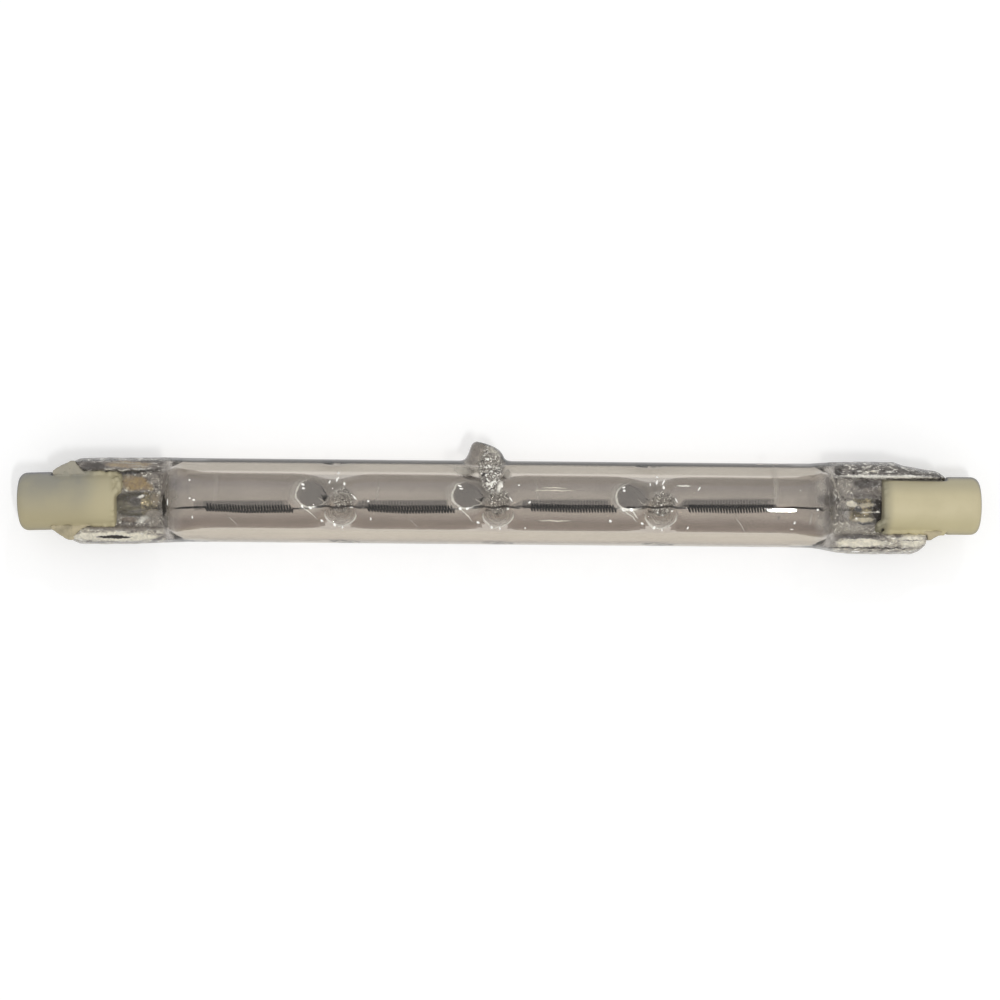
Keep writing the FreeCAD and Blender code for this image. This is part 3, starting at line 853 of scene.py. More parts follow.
def press_outside(rings):
    """Presses the dents into the outer skin, the front ones down and the rear ones up."""
    lean_height, least = tube_radius * 0.5, 0.02
    x, y, z = rings[..., 0], rings[..., 1], rings[..., 2]
    lean = np.clip(np.abs(z) / lean_height, 0.0, 1.0)
    top = np.maximum(z - dent_press(x, y, front_dents) * lean, least)
    low = np.minimum(z + dent_press(x, y, rear_dents) * lean, -least)
    rings[..., 2] = np.where(z > 0, top, low)
    return rings


def raise_tip(rings):
    """Draws the exhaust tip out of the tube's upper side."""
    full_lift, foot_depth, more_depth, roundness = 2.35, 1.3, 1.35, 0.8
    x, y, z = rings[..., 0], rings[..., 1], rings[..., 2]
    peak = np.interp(x, *np.array(tip_outline).T)
    lift = np.maximum(peak - tube_radius, 0.0)
    half_depth = foot_depth + more_depth * np.sqrt(lift / full_lift)
    share = np.clip(1.0 - (z / half_depth) ** 2, 0.0, 1.0) * (y > 0)
    rings[..., 1] = y + lift * share ** roundness
    return rings


def melt(rings):
    """The uneven, flowed webs of the seals and their combed rails."""
    flow_seed, fine_seed, comb_seed, side_seed = 3.7, 11.3, 23.1, 31.9
    growth, thin_edge = 2.5, 0.35
    rail_start, rail_rise, side_start = 3.2, 0.5, 3.0
    x, y, z = rings[..., 0], rings[..., 1], rings[..., 2]
    seal = ease((np.abs(x) - seal_start) / growth)
    rail = ease((np.abs(y) - rail_start) / rail_rise)
    flow = ripple(x * 0.55, y * 1.5, z, flow_seed)
    fine = ripple(x * 2.08, y * 2.56, z * 1.92, fine_seed)
    combs = ripple(x * 2.6, y * 0.6, z * 0.6, comb_seed)
    web_wave = 0.16 * flow + 0.10 * fine
    rail_wave = 0.10 * flow + 0.09 * combs
    wave = seal * ((1 - rail) * web_wave + rail * rail_wave)
    rings[..., 2] = z + np.sign(z) * wave * np.minimum(np.abs(z) / thin_edge, 1.0)
    side_wave = 0.05 * ripple(x * 0.9, np.sign(y) * 4.0, z * 0.7, side_seed)
    rings[..., 1] = y + np.sign(y) * seal * side_wave * ease(np.abs(y) - side_start)
    return rings


def bore_rings():
    """Rings of points over the wall of the sealed space, necked a little at the dents."""
    around, bore_step, least_gap, end_step = 104, 0.6, 0.15, 0.25
    neck_shift, neck_length, neck_upper, neck_lower = -0.8, 2.4, 0.42, 0.16
    turn = full_turn(around)
    middle = thinned(list(np.arange(-33.0, 33.01, bore_step)) + dent_stations(), least_gap)
    end = list(np.arange(33.4, 40.5, end_step)) + [40.5, 40.6]
    rings = []
    for x in [-station for station in reversed(end)] + middle + end:
        wide, high = through(abs(x), bore_end_sections)
        neck = max(math.exp(-((x - place - neck_shift) / neck_length) ** 2)
                   for place in dent_places)
        reach = np.where(np.cos(turn) > 0, wide - neck_upper * neck, wide - neck_lower * neck)
        rings.append(np.stack([np.full(around, x), reach * np.cos(turn), high * np.sin(turn)], -1))
    return np.array(rings)


def press_bore(rings):
    """The dents as they stand in the bore: their tips stop just short of the wire."""
    lean_height, wire_gap = 1.2, 0.16
    x, y, z = rings[..., 0], rings[..., 1], rings[..., 2]
    lean = np.clip(np.abs(z) / lean_height, 0.0, 1.0)
    top = np.maximum(z - dent_press(x, y, bore_front_dents) * lean, np.minimum(z, wire_gap))
    low = np.minimum(z + dent_press(x, y, bore_rear_dents) * lean, np.maximum(z, -wire_gap))
    rings[..., 2] = np.where(z > 0, top, low)
    return rings


def toned(colour, factor):
    """A colour made paler or darker."""
    return tuple(min(1.0, part * factor) for part in colour)


def grain_cover(grain, low, high, middle):
    """How fully a crackled face covers: most where its grain is lowest or highest."""
    edge = 0.06
    return grain.ramp(low + edge, low).larger(grain.ramp(high - edge, high)).larger(middle)


def part_at(x):
    """Which part of the quartz's outside a place along it lies in."""
    return "tube" if abs(x) < seal_start else "left" if x < 0 else "right"


def upper_face(made):
    """1 on the side of the quartz that faces the front, fading to 0 at its middle."""
    return made.z.ramp(0.0, 0.3)


def seal_sparkle(made, bent, part):
    """Where the crackled parts of a pinch seal get painted sparkle, and how strongly."""
    if part == "left":
        return made.oval(bent, left_crackle).ramp(1.2, 0.7)
    bead_row = made.oval(bent, right_bead_row).ramp(1.2, 0.8)
    outer_row = made.oval(bent, right_outer_row).ramp(1.2, 0.8)
    shoulder = made.oval(bent, right_shoulder).ramp(1.2, 0.6)
    seal = made.x.ramp(40.5, 42.0)
    return bead_row.larger(outer_row * 0.7).larger(seal * 0.3).larger(shoulder * 0.55)


def seal_film(made, part):
    """The mottled web and streaked rails of a pinch seal."""
    film_start, film_full = 40.2, 41.2
    both_faces_start, both_faces_full = 40.8, 41.8
    fleck = made.noise(1.15, detail=4.0, distortion=1.6)
    comb = made.noise(1.15, detail=4.0, stretch=(0.8, 2.2, 1.0), distortion=0.9)
    rails = made.mix(made.y.ramp(-0.5, 0.5), made.film_shades(comb, pale_rail_shades),
                     made.film_shades(comb, dim_rail_shades))
    on_rail = made.y.size().ramp(rail_inner - 0.1, rail_inner + 0.15)
    seal = made.mix(on_rail, made.film_shades(fleck, web_shades), rails)
    bare = made.oval(made.place, seal_metal[part]).ramp(1.15, 0.85)
    cover = grain_cover(fleck, low=0.40, high=0.62, middle=0.75) * (1.0 - bare * 0.85)
    film = made.mix(cover * made.x.size().ramp(film_start, film_full), BLANK, seal)
    bent = made.warped(4.5, reach=0.12, place=made.warped(1.3, reach=0.22))
    for mark in quartz_marks[part]:
        film = made.mark(film, bent, mark)
    # Painted sparkle: small bright glints over the crackled parts
    sparkle = made.cells(2.4, stretch=(0.8, 1.4, 0.6)).ramp(0.20, 0.12)
    film = made.lay(film, SPARKLE, sparkle * seal_sparkle(made, bent, part))
    both_faces = made.x.size().ramp(both_faces_start, both_faces_full)
    return made.mix(upper_face(made).larger(both_faces), BLANK, film)


def dent_place(made):
    """How far along a point is from the nearest dent, and its place bent a little by noise."""
    marks_shift = 0.42
    nearest = made.x - (dent_places[0] + marks_shift)
    for border, before, after in zip(dent_borders, dent_places, dent_places[1:]):
        nearest = nearest - made.x.above(border) * (after - before)
    local = made.node("ShaderNodeCombineXYZ", inputs={0: nearest * MM, 1: made.y * MM})
    return nearest, made.warped(0.55, reach=0.38, place=local)


def dent_film(made, film, nearest, bent):
    """The dents' painted rim highlights, crackled patches, painted pale and dark rings, painted leg
    lines and painted glints, laid over a film.
    """
    lens_edge, lens_glow, ring_edge = 1.04, 1.25, 1.03
    # A painted highlight along the rear lens's rim and a painted glow inside it, brightest towards
    # the lower left
    away = made.oval(bent, rear_lens)
    edge = (away - lens_edge).size().ramp(0.12, 0.02)
    lit = (nearest + made.y * 0.9).ramp(-0.6, -4.6)
    film = made.lay(film, LENS_EDGE, edge * (lit * 0.60 + 0.16))
    glow = (away - lens_glow).size().ramp(0.30, 0.0) * lit
    film = made.lay(film, LENS_GLOW, glow * 0.35)
    for mark in dent_lines:
        film = made.mark(film, bent, mark)

    patch = made.oval(bent, dent_patch).ramp(1.15, 0.75)
    grain = made.noise(3.4, detail=4.0, distortion=2.2)
    cover = patch * grain_cover(grain, low=0.43, high=0.59, middle=0.5)
    film = made.mix(cover, film, made.film_shades(grain, dent_shades))

    # Painted pale and dark rings and a painted bright rim below each dent, for the light and shade
    # of its ripples
    ring_rate = 21.0
    ring_away = made.oval(bent, dent_rings)
    wave = (ring_away * ring_rate).sine()
    below = made.y.ramp(-0.5, -1.5) * ring_away.ramp(1.04, 0.98) * ring_away.ramp(0.15, 0.35)
    film = made.lay(film, RING_DARK, wave.ramp(-0.2, -1.0) * below * 0.45)
    film = made.lay(film, RING_PALE, wave.ramp(0.2, 1.0) * below * 0.50)
    rim = (ring_away - ring_edge).size().ramp(0.07, 0.02) * made.y.ramp(-0.9, -2.2)
    film = made.lay(film, RING_RIM, rim * 0.8)

    # A painted dark line where the wire's leg shows through the dent
    leg_slope, leg_side, leg_wave, leg_rate = 0.008, 0.52, 0.09, 2.1
    bend = (nearest * leg_rate).sine() * leg_wave
    leg = (made.y - made.x * leg_slope + leg_side - bend).size().ramp(0.17, 0.09)
    film = made.lay(film, PAINTED_LEG_LINE, leg * (nearest + 0.3).size().ramp(3.2, 2.6) * 0.9)
    film = made.glints(film, bent, dent_glints)
    return made.mix(upper_face(made), BLANK, film), patch.larger(below * 0.5)


def tube_film(made, nearest, bent, near, froth):
    """What covers the tube: its dents' marks, the foam below its tip, and the tube's marks with
    their painted highlights and glints.
    """
    film, crackle = dent_film(made, BLANK, nearest, bent)
    column = made.oval(made.warped(1.6, reach=0.35), tip_column).ramp(1.15, 0.8)
    foam = made.film_shades(froth, tip_shades)
    film = made.mix(column * grain_cover(froth, low=0.42, high=0.58, middle=0.6), film, foam)
    # Painted sparkle on the foam below the tip
    sparkle = made.cells(1.9).ramp(0.22, 0.13) * made.y.ramp(3.2, 4.2)
    film = made.lay(film, FROTH, sparkle * column)
    for mark in quartz_marks["tube"]:
        film = made.mark(film, near, mark)
    on_tip = made.y.ramp(4.5, 5.0)
    film = made.mix(upper_face(made).larger(on_tip), BLANK, film)
    return film, crackle.larger(column)


def painted_coil_shadows(made, colour):
    """The painted shadow of each coil on the bore beside it, and a painted dark line along each
    coil's core, laid over a colour.
    """
    shift, half_width, fade = -0.9, 0.38, 0.16
    slope, side, core_side = 0.0128, -0.05, -0.44
    ghost, core_shade = (0.33, 0.32, 0.315), (0.03, 0.027, 0.025)
    inside = None
    for start, stop in coil_ends:
        middle, half = (start + stop) / 2.0 + shift, (stop - start) / 2.0
        span = (made.x - middle).size().ramp(half + fade, half - fade)
        inside = span if inside is None else inside.larger(span)
    away = made.y - (made.x * slope + side)
    band = away.size().ramp(half_width + fade, half_width - fade)
    turns = (made.x * (2 * math.pi / coil_pitch)).sine()
    colour = made.mix(inside * band * (turns * 0.22 + 0.66), colour, ghost)
    core = (away - core_side).size().ramp(0.22, 0.12)
    return made.mix(inside * core * 0.5, colour, core_shade)


def glass_colour(made):
    """The quartz's grey cast: clouded, streaked along it, and with painted light and shade banded
    across the tube.
    """
    tint = settings().quartz_tint
    cloud = made.noise(0.22, detail=3.0, stretch=(0.5, 1.0, 1.0))
    streak = made.noise(0.7, detail=3.0, stretch=(0.05, 1.6, 1.0))
    across = (made.y + tube_radius) / (2 * tube_radius)
    at_seal = made.x.size().ramp(38.0, 40.5)
    level = made.mix(at_seal, made.shades(across, painted_glass_bands), seal_tone)
    colour = made.mix(cloud.ramp(0.40, 0.65), tint, toned(tint, 0.94))
    colour = made.mix(streak.ramp(0.45, 0.7) * 0.4, colour, toned(tint, 1.10))
    return made.mix(1.0, colour, level, "MULTIPLY")


def painted_rim_lines(made, colour):
    """A painted dark line at the tube's outline and a painted pale highlight inside it, laid over a
    colour.
    """
    dark, pale = (0.003, 0.0025, 0.002), (0.86, 0.80, 0.74)
    facing = made.facing()
    dark_rim = facing.ramp(0.50, 0.60) * made.y.ramp(-2.0, 3.5, start=0.25, stop=1.0)
    colour = made.mix(dark_rim, colour, dark)
    pale_rim = facing.ramp(0.21, 0.24) * facing.ramp(0.31, 0.27)
    on_tube = made.y.size().ramp(2.4, 3.3) * made.x.size().ramp(41.0, 39.0)
    return made.mix(pale_rim * on_tube * made.y.ramp(-3.0, 3.0, start=0.2, stop=1.0), colour, pale)


def quartz_finish(part):
    """Clear quartz with a grey cast; its outside is crackled where it was pinched or pressed."""
    clear_tone = (0.93, 0.915, 0.895)
    index = settings().quartz_index
    made = Finish("quartz_" + part)
    nearest, bent = dent_place(made)
    colour = painted_coil_shadows(made, glass_colour(made))
    for mark in dent_shadows:
        colour = made.stain(colour, bent, mark)
    flow = made.noise(0.35, detail=2.0, stretch=(0.4, 1.0, 1.0))
    relief = made.bump(flow, distance=0.03, strength=0.5)
    rough = 0.012
    if part != "bore":
        near = made.warped(1.3, reach=0.15)
        colour = painted_rim_lines(made, colour)
        froth = made.noise(1.9, detail=4.0, distortion=2.0)
        if part == "tube":
            film, crackle = tube_film(made, nearest, bent, near, froth)
        else:
            film = seal_film(made, part)
            crackle = made.x.size().ramp(38.5, 41.5) * 0.5
        if part == "left":
            # Painted bluish highlight at the left shoulder
            colour = made.stain(colour, near, shoulder_highlight)
        film = made.glints(film, made.place, [
            glint for glint in quartz_glints if part_at(glint[0]) == part])
        relief = made.bump(froth * crackle, distance=0.30, strength=1.0, normal=relief)
        rough = (crackle * froth).ramp(0.2, 0.8, start=0.010, stop=0.045)
    glass = made.principled(Base_Color=colour, Roughness=rough, Ior=index,
                            Transmission_Weight=1.0, Normal=relief)
    clear = made.node("ShaderNodeBsdfTransparent", inputs={0: clear_tone})
    for kind in ("Is Diffuse Ray", "Is Shadow Ray"):
        glass = made.blend(made.ray(kind), glass, clear)
    if part != "bore":
        colour, cover = made.film_parts(film)
        solid = made.principled(Base_Color=colour, Roughness=0.12, Ior=index, Normal=relief)
        glass = made.blend(cover, glass, solid)
    return made.done(glass)


def ceramic_finish():
    """Unglazed steatite: cream, greyer on the left cap, with painted shade on the upper side and
    rims.
    """
    cool_lower, cool_upper_painted_shade = (0.43, 0.375, 0.225), (0.29, 0.28, 0.235)
    warm_lower, warm_upper_painted_shade = (0.55, 0.485, 0.285), (0.47, 0.425, 0.285)
    left_inner, right_inner_painted_shade = (0.52, 0.46, 0.28), (0.20, 0.195, 0.155)
    rim_painted_shade = (0.17, 0.175, 0.20)
    colour = settings().ceramic_colour
    made = Finish("ceramic")
    cloud = made.noise(0.35, detail=4.0)
    fine = made.noise(6.0, detail=3.0)
    right = made.x.ramp(-1.0, 1.0)
    # Painted shade: the caps grow greyer towards their upper side
    upper = made.y.ramp(-3.2, 3.0)
    warm = made.mix(upper, warm_lower, warm_upper_painted_shade)
    warm = made.mix((made.y - 0.3).size().ramp(2.6, 0.8) * 0.8, warm, colour)
    shade = made.mix(right, made.mix(upper, cool_lower, cool_upper_painted_shade), warm)
    inner_left = made.x.ramp(-51.5, -48.0) * (1.0 - right)
    shade = made.mix(inner_left * 0.7, shade, left_inner)
    # Painted shade at the right cap's inner end
    inner_right = made.x.ramp(48.3, 46.9) * right * (1.0 - upper * 0.3)
    shade = made.mix(inner_right * 0.75, shade, right_inner_painted_shade)
    # Painted shade along the caps' outlines, more on the upper side, away from the inner ends
    rim = made.facing().ramp(0.45, 0.9) * made.y.ramp(-3.0, 2.0, start=0.35, stop=0.9)
    shade = made.mix(rim * made.x.size().ramp(47.3, 49.0), shade, rim_painted_shade)
    shade = made.mix(cloud.ramp(0.40, 0.7) * 0.25, shade, toned(colour, 0.80))
    shade = made.mix(fine.ramp(0.64, 0.76) * 0.3, shade, toned(colour, 0.70))
    return made.done(made.principled(
        Base_Color=shade, Roughness=cloud.ramp(0.3, 0.7, start=0.55, stop=0.72),
        Normal=made.bump(fine, distance=0.012, strength=0.5)))


def cement_finish():
    """Crumbly cream cement, with painted shade: cooler on the upper side and grey at its outline.
    """
    upper_painted_shade, pit_brown, edge_painted_shade = (0.33, 0.315, 0.27), (0.22, 0.20, 0.15), (0.20, 0.20, 0.20)
    colour = settings().cement_colour
    made = Finish("cement")
    cloud = made.noise(0.7, detail=5.0)
    sand = made.noise(4.0, detail=4.0)
    shade = made.shades(cloud.ramp(0.3, 0.7), [
        (0.0, toned(colour, 0.70)), (0.5, colour), (1.0, toned(colour, 1.18))])
    shade = made.mix(made.y.ramp(0.0, 3.5) * 0.75, shade, upper_painted_shade)
    shade = made.mix(sand.ramp(0.40, 0.30) * 0.5, shade, pit_brown)
    shade = made.mix(made.facing().ramp(0.5, 0.95) * 0.7, shade, edge_painted_shade)
    return made.done(made.principled(
        Base_Color=shade, Roughness=cloud.ramp(0.3, 0.7, start=0.6, stop=0.85),
        Normal=made.bump(sand, distance=0.06, strength=0.9)))


def metal_finish(name, colour, rough, stretch=Finish.plain_stretch, relief=0.02):
    """A metal with uneven colour; stretch draws its pattern out along the bulb."""
    dark, pale, stain = 0.4, 2.1, 0.7
    more_rough = 0.2
    made = Finish(name)
    cloud = made.noise(1.2, detail=4.0)
    lines = made.noise(3.0, detail=4.0, stretch=stretch, distortion=0.4)
    shade = made.shades(lines.ramp(0.3, 0.72), [
        (0.0, toned(colour, dark)), (0.5, colour), (1.0, toned(colour, pale))])
    shade = made.mix(cloud.ramp(0.5, 0.7) * 0.4, shade, toned(colour, stain))
    return made.done(made.principled(
        Base_Color=shade, Metallic=1.0, Normal=made.bump(lines, distance=relief, strength=0.7),
        Roughness=cloud.ramp(0.3, 0.7, start=rough, stop=rough + more_rough)))


class BULB_OT_quartz(bpy.types.Operator):
    """Adds the quartz tube with its dents, seals and exhaust tip"""
    bl_idname = "bulb.quartz"
    bl_label = "Quartz"

    def execute(self, context):
        outer = melt(raise_tip(press_outside(outer_rings())))
        outer[..., 1] = np.clip(
            outer[..., 1], GLASS_LOW.y + skin_margin, GLASS_HIGH.y - skin_margin)
        outer[..., 2] = np.clip(outer[..., 2], -tube_radius, tube_radius)
        points, faces = skin(outer)
        hollow, hollow_faces = skin(press_bore(bore_rings()), inward=True)
        start, outer_count = len(points), len(faces)
        faces += [tuple(corner + start for corner in face) for face in hollow_faces]
        quartz = mesh_piece("quartz_envelope", np.concatenate([points, hollow]), faces)
        parts = ("tube", "left", "right", "bore")
        assign(quartz, *(quartz_finish(part) for part in parts))
        for polygon in quartz.data.polygons:
            inside = polygon.index >= outer_count
            part = "bore" if inside else part_at(polygon.center.x / MM)
            polygon.material_index = parts.index(part)
        dress(quartz, "quartz", "glass_envelope")
        return {"FINISHED"}


def wire_path():
    """Places along the whole wire's centre line, in millimetres, and its swelling there."""
    steps = 20
    left_lead, right_lead = lead_points
    straights = leg_points + [right_lead]
    path = [(x, y, 0.0, leg_swell) for x, y in reversed(left_lead)]
    for (start, stop), line, straight in zip(coil_ends, coil_lines, straights):
        turns = round((stop - start) / coil_pitch)
        for step in range(turns * steps + 1):
            share = step / (turns * steps)
            x = start + (stop - start) * share
            y = through(x, line)[0]
            angle = 2 * math.pi * turns * share
            near_end = min(share, 1 - share) * turns
            radius = coil_radius * min(1.0, 2.0 * near_end)
            rise = radius * math.cos(angle)
            path.append((x - coil_lean * rise, y + rise, radius * math.sin(angle), 1.0))
        path += [(x, y, 0.0, leg_swell) for x, y in straight]
    return path


class BULB_OT_filament(bpy.types.Operator):
    """Adds the wound tungsten wire"""
    bl_idname = "bulb.filament"
    bl_label = "Filament"

    def execute(self, context):
        curve = bpy.data.curves.new("filament_wire", "CURVE")
        curve.dimensions = "3D"
        curve.bevel_depth = wire_radius * MM
        curve.bevel_resolution = 1
        curve.use_fill_caps = True
        path = wire_path()
        spline = curve.splines.new("POLY")
        spline.points.add(len(path) - 1)
        for point, (x, y, z, swell) in zip(spline.points, path):
            point.co = (x * MM, y * MM, z * MM, 1.0)
            point.radius = swell
        wire = made_mesh(add_object("filament_wire", curve))
        assign(wire, metal_finish("tungsten", settings().tungsten_colour, rough=0.35))
        dress(wire, "tungsten", "filament")
        return {"FINISHED"}


def plate(low, high, thickness, waves, folds, seed):
    """Points and faces of a thin uneven sheet inside a box, all in millimetres."""
    steps_x, steps_y = 56, 36
    edge_rate, end_rate = 1.4, 5.0
    share_x = np.linspace(0.0, 1.0, steps_x)[:, None]
    share_y = np.linspace(0.0, 1.0, steps_y)[None, :]
    left_wave = waves * np.abs(ripple(share_y * end_rate, 0.0, seed, seed))
    right_wave = waves * np.abs(ripple(share_y * end_rate, 3.0, seed, seed))
    x = low.x + (high.x - low.x) * share_x + left_wave * (1.0 - share_x) - right_wave * share_x
    lower = low.y + waves * np.abs(ripple(x * edge_rate, 1.0, seed, seed))
    upper = high.y - waves * np.abs(ripple(x * edge_rate, 7.0, seed, seed))
    y = lower + (upper - lower) * share_y
    creases = ripple(x * 0.9, y * 3.2, 0.0, seed + 5)
    creases = creases + 0.5 * ripple(x * 2.2, y * 5.0, 0.0, seed + 9)
    z = (low.z + high.z) / 2.0 + folds * creases
    top = np.stack([x, y, z + thickness / 2.0], -1).reshape(-1, 3)
    base = np.stack([x, y, z - thickness / 2.0], -1).reshape(-1, 3)
    grid = np.arange(steps_x * steps_y).reshape(steps_x, steps_y)
    corners = np.stack([grid[:-1, :-1], grid[1:, :-1], grid[1:, 1:], grid[:-1, 1:]], -1)
    faces = []
    for quad in corners.reshape(-1, 4).tolist():
        faces += [tuple(quad), tuple(corner + len(top) for corner in reversed(quad))]
    rim = np.concatenate([grid[0], grid[1:, -1], grid[-1, -2::-1], grid[-2:0:-1, 0]]).tolist()
    for a, b in zip(rim, rim[1:] + rim[:1]):
        faces.append((b, a, a + len(top), b + len(top)))
    return np.concatenate([top, base]), faces


def copy_node(node, name):
    """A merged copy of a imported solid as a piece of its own."""
    source = frame["nodes"][node]
    mesh = source.data.copy()
    mesh.transform(source.matrix_world)
    joined = bmesh.new()
    joined.from_mesh(mesh)
    bmesh.ops.remove_doubles(joined, verts=joined.verts, dist=0.001 * MM)
    joined.to_mesh(mesh)
    joined.free()
    mesh.name = name
    return add_object(name, mesh)


def soften(obj, voxel, rounds):
    """Rounds an object's edges by remeshing and smoothing it."""
    remesh = obj.modifiers.new("remesh", "REMESH")
    remesh.mode = "VOXEL"
    remesh.voxel_size = voxel * MM
    smooth = obj.modifiers.new("smooth", "SMOOTH")
    smooth.factor = 0.5
    smooth.iterations = rounds
    return made_mesh(obj)


def roughen(obj, height, scale, seed):
    """Moves an object's points along their normals by noise, in millimetres."""
    fine_scale, fine_share = 2.3, 0.5
    mesh = obj.data
    moves = []
    for vertex in mesh.vertices:
        place = vertex.co / MM * scale + Vector((seed, seed, seed))
        lump = noise.noise(place) + fine_share * noise.noise(place * fine_scale)
        moves.append(vertex.co + vertex.normal * lump * height * MM)
    mesh.vertices.foreach_set("co", [value for place in moves for value in place])
    mesh.update()


def add_crumb(lumps, size, along, side, height):
    """One round lump of cement, in millimetres."""
    made = bmesh.ops.create_icosphere(lumps, subdivisions=2, radius=size * MM)
    bmesh.ops.translate(lumps, verts=made["verts"], vec=Vector((along, side, height)) * MM)


def crumbs(name, sign, seed):
    """Lumps of cement that have squeezed out around the inner end of a cap."""
    cap_inner, cap_outer, cap_round, least_crown = 46.8, 54.3, 3.35, 1.2
    rows, row_height, crumb_gap, sunk = 32, 0.45, 0.26, -0.35
    rng = np.random.default_rng(seed)
    lumps = bmesh.new()
    # The cement stands out over the left cap's upper half and the right cap's lower edge
    for side in np.linspace(-3.1, 3.1, rows):
        if sign < 0:
            reach = 0.12 + 0.80 * ease((side - 0.4) / 0.7)
        else:
            reach = 0.05 + 0.85 * ease((-1.6 - side) / 0.7)
        crown = math.sqrt(max(cap_round ** 2 - side ** 2, least_crown))
        for height in np.arange(0.9, crown, row_height):
            for face in (1, -1):
                size = rng.uniform(0.26, 0.40)
                out = max(reach * rng.uniform(0.55, 1.0) - size, sunk)
                add_crumb(lumps, size, sign * (cap_inner - out),
                          side + rng.uniform(-0.1, 0.1), face * height)
    # It also lines the flanks, except the upper one of the right cap, which is clean
    for along in np.arange(cap_inner + 0.2, cap_outer, crumb_gap):
        for flank in ((1, -1) if sign < 0 else (-1,)):
            for face in (1, -1):
                add_crumb(lumps, rng.uniform(0.26, 0.42), sign * along,
                          flank * rng.uniform(3.05, 3.25), face * rng.uniform(1.40, 1.75))
    mesh = bpy.data.meshes.new(name)
    lumps.to_mesh(mesh)
    lumps.free()
    return add_object(name, mesh)


class BULB_OT_caps(bpy.types.Operator):
    """Adds the ceramic caps with worn edges"""
    bl_idname = "bulb.caps"
    bl_label = "Caps"

    def execute(self, context):
        finish = ceramic_finish()
        for end, sign, seed in (("left", -1, 4), ("right", 1, 9)):
            node = "ceramic_cap_" + end
            cap = copy_node(node, "cap_" + end)
            extra = crumbs("crumbs_" + end, sign, seed)
            select_only(cap)
            extra.select_set(True)
            bpy.ops.object.join()
            cap = soften(bpy.context.view_layer.objects.active, voxel=0.14, rounds=9)
            assign(cap, finish)
            dress(cap, "ceramic", node)
        return {"FINISHED"}


class BULB_OT_cement(bpy.types.Operator):
    """Adds the crumbly cement between the caps and the seals"""
    bl_idname = "bulb.cement"
    bl_label = "Cement"

    def execute(self, context):
        finish = cement_finish()
        for end, seed in (("left", 4), ("right", 9)):
            node = "cement_" + end
            body = soften(copy_node(node, "cement_fill_" + end), voxel=0.13, rounds=3)
            roughen(body, height=0.10, scale=1.6, seed=seed)
            assign(body, finish)
            dress(body, "cement", node)
        return {"FINISHED"}


class BULB_OT_seal_metal(bpy.types.Operator):
    """Adds the crumpled foils and the welded tabs"""
    bl_idname = "bulb.seal_metal"
    bl_label = "Foils and tabs"

    def execute(self, context):
        foil = metal_finish("foil", settings().foil_colour, rough=0.35,
                            stretch=(0.10, 2.4, 1.0), relief=0.03)
        tab = metal_finish("weld_tab", settings().tab_colour, rough=0.22,
                           stretch=(0.6, 1.2, 1.0), relief=0.10)
        for end, seed in (("left", 2.0), ("right", 6.0)):
            self.add_sheet("foil_" + end, "foil", foil, waves=0.10, folds=0.10, seed=seed)
            self.add_sheet("weld_tab_" + end, "weld_tab", tab, waves=0.35, folds=0.14,
                           seed=seed + 1.0)
        return {"FINISHED"}

    def add_sheet(self, node, slot, finish, waves, folds, seed):
        """One crumpled sheet in the place of a packed one."""
        thickness = 0.05
        low, high = (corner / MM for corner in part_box(node))
        points, faces = plate(low, high, thickness, waves, folds, seed)
        sheet = mesh_piece(node + "_sheet", points, faces)
        assign(sheet, finish)
        dress(sheet, slot, node)


class BULB_OT_contacts(bpy.types.Operator):
    """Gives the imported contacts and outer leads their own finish"""
    bl_idname = "bulb.contacts"
    bl_label = "Contacts"

    def execute(self, context):
        finish = metal_finish("contact", settings().contact_colour, rough=0.3)
        for entry in frame["record"]["subparts"]:
            if entry["material_slot"] == "contact":
                assign(frame["nodes"][entry["node"]], finish)
        return {"FINISHED"}


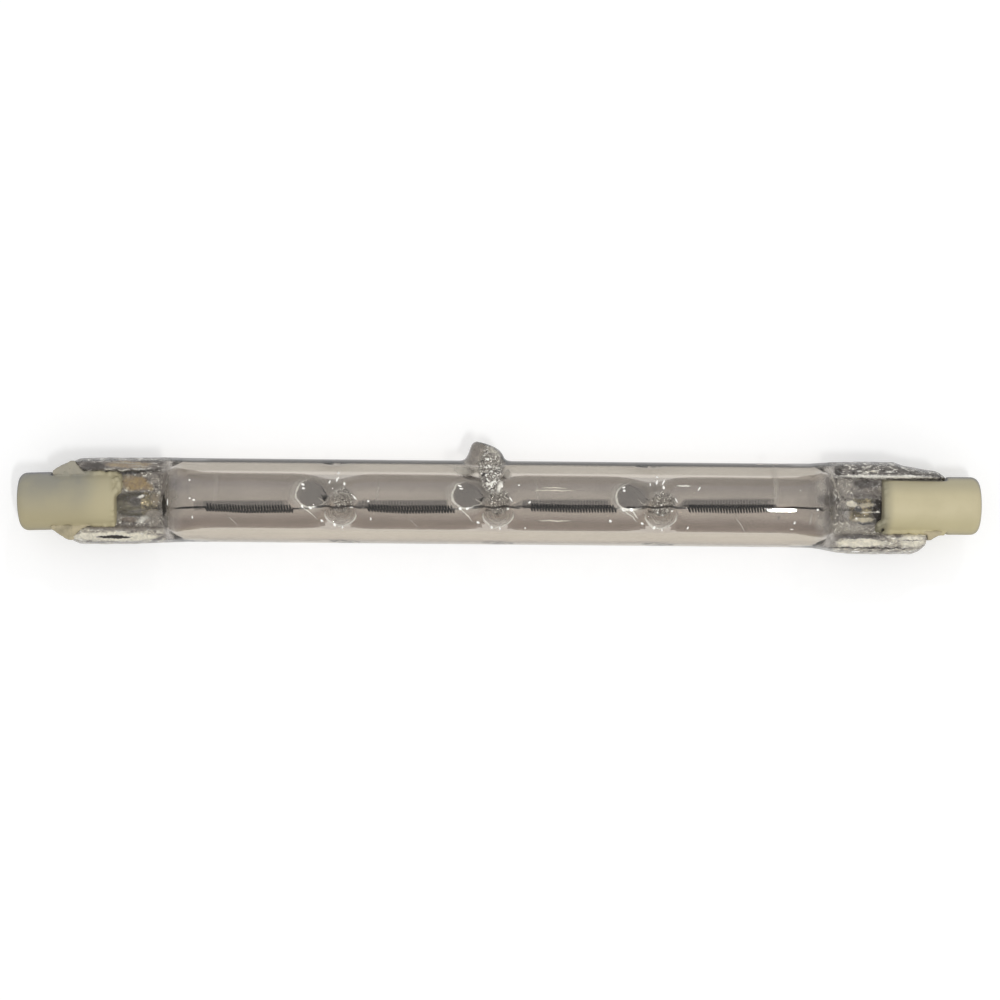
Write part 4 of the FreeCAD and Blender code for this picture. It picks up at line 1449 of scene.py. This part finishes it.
class BULB_OT_stage(bpy.types.Operator):
    """Adds the floor, the lamps, the world and the camera"""
    bl_idname = "bulb.stage"
    bl_label = "Stage"

    def execute(self, context):
        context.scene.view_settings.view_transform = "Standard"
        self.add_floor()
        self.add_world()
        self.add_lamp("key", (0.1015, -0.142, 0.60), size=(0.023, 0.10), share=0.21)
        self.add_lamp("glint", (0.30, 0.95, 1.0), size=(0.05, 0.05), share=0.04)
        self.add_camera()
        return {"FINISHED"}

    def add_floor(self):
        """A plain pale floor that looks white and keeps the shadow."""
        reach, lift = 3.0, 0.33
        bpy.ops.mesh.primitive_plane_add(size=2 * reach, location=(0, 0, -tube_radius * MM))
        floor = bpy.context.object
        floor.name = "floor"
        bpy.ops.object.transform_apply(location=True)
        made = Finish("floor")
        matt = made.node("ShaderNodeBsdfDiffuse", inputs={0: settings().floor_colour})
        seen = made.ray("Is Camera Ray")
        for kind in ("Is Glossy Ray", "Is Transmission Ray"):
            seen = seen.larger(made.ray(kind))
        glow = made.node("ShaderNodeEmission", inputs={0: (1, 1, 1), 1: seen * lift})
        assign(floor, made.done(made.node("ShaderNodeAddShader", inputs={0: matt, 1: glow})))

    def add_world(self):
        """A plain soft light from all sides, a little darker near the floor."""
        strength = 0.80
        levels = [(0.0, 0.55), (0.12, 0.65), (0.5, 0.95), (1.0, 0.95)]
        world = bpy.data.worlds.new("studio")
        bpy.context.scene.world = world
        world.use_nodes = True
        nodes, links = world.node_tree.nodes, world.node_tree.links
        nodes.clear()
        place = nodes.new("ShaderNodeTexCoord")
        split = nodes.new("ShaderNodeSeparateXYZ")
        ramp = nodes.new("ShaderNodeValToRGB")
        light = nodes.new("ShaderNodeBackground")
        output = nodes.new("ShaderNodeOutputWorld")
        links.new(place.outputs["Generated"], split.inputs[0])
        links.new(split.outputs["Z"], ramp.inputs[0])
        links.new(ramp.outputs[0], light.inputs["Color"])
        links.new(light.outputs[0], output.inputs["Surface"])
        set_stops(ramp.color_ramp, [(height, (level,) * 3) for height, level in levels])
        light.inputs["Strength"].default_value = strength

    def add_lamp(self, name, place, size, share):
        """An oval lamp, in metres, that gives a share of a white floor's light."""
        data = bpy.data.lights.new(name, "AREA")
        data.shape = "ELLIPSE"
        data.size, data.size_y = size
        away = Vector(place)
        data.energy = share * math.pi * away.length ** 2 * math.pi
        lamp = add_object(name, data)
        lamp.location = place
        away.normalize()
        side = (Vector((1, 0, 0)) - away * away.x).normalized()
        lamp.rotation_euler = Matrix((side, away.cross(side), away)).transposed().to_euler()

    def add_camera(self):
        """A camera straight above, turned a little about its line of sight."""
        picture_pixels = 1000
        origin_pixel = Vector((499.0, 502.7))
        middle_pixel = Vector((picture_pixels / 2, picture_pixels / 2))
        width, roll = settings().camera_width, settings().camera_roll
        data = bpy.data.cameras.new("camera")
        data.lens = 100.0
        data.clip_start, data.clip_end = 0.01, 20.0
        right = Vector((math.cos(roll), math.sin(roll), 0))
        up = Vector((-right.y, right.x, 0))
        off = (middle_pixel - origin_pixel) * width / picture_pixels
        distance = width * data.lens / data.sensor_width
        camera = add_object("camera", data)
        camera.location = right * off.x - up * off.y + Vector((0, 0, distance))
        camera.rotation_euler = (0.0, 0.0, roll)
        bpy.context.scene.camera = camera


class BULB_PT_panel(bpy.types.Panel):
    """Lists the bulb's operators"""
    bl_idname = "BULB_PT_panel"
    bl_label = "Halogen Bulb"
    bl_space_type = "VIEW_3D"
    bl_region_type = "UI"
    bl_category = "Halogen Bulb"

    def draw(self, context):
        for operator in OPERATORS:
            self.layout.operator(operator.bl_idname)


OPERATORS = (BULB_OT_stage, BULB_OT_quartz, BULB_OT_filament, BULB_OT_caps, BULB_OT_cement,
             BULB_OT_seal_metal, BULB_OT_contacts)
CLASSES = (BulbSettings, *OPERATORS, BULB_PT_panel)


def register():
    """Registers the settings, operators and panel."""
    for cls in CLASSES:
        bpy.utils.register_class(cls)
    bpy.types.Scene.halogen_bulb = bpy.props.PointerProperty(type=BulbSettings)


def unregister():
    """Removes what register added."""
    del bpy.types.Scene.halogen_bulb
    for cls in reversed(CLASSES):
        bpy.utils.unregister_class(cls)


def main():
    """Builds everything."""
    register()
    bpy.ops.bulb.stage()
    bpy.ops.bulb.quartz()
    bpy.ops.bulb.filament()
    bpy.ops.bulb.caps()
    bpy.ops.bulb.cement()
    bpy.ops.bulb.seal_metal()
    bpy.ops.bulb.contacts()


if __name__ == "__main__":
    main()
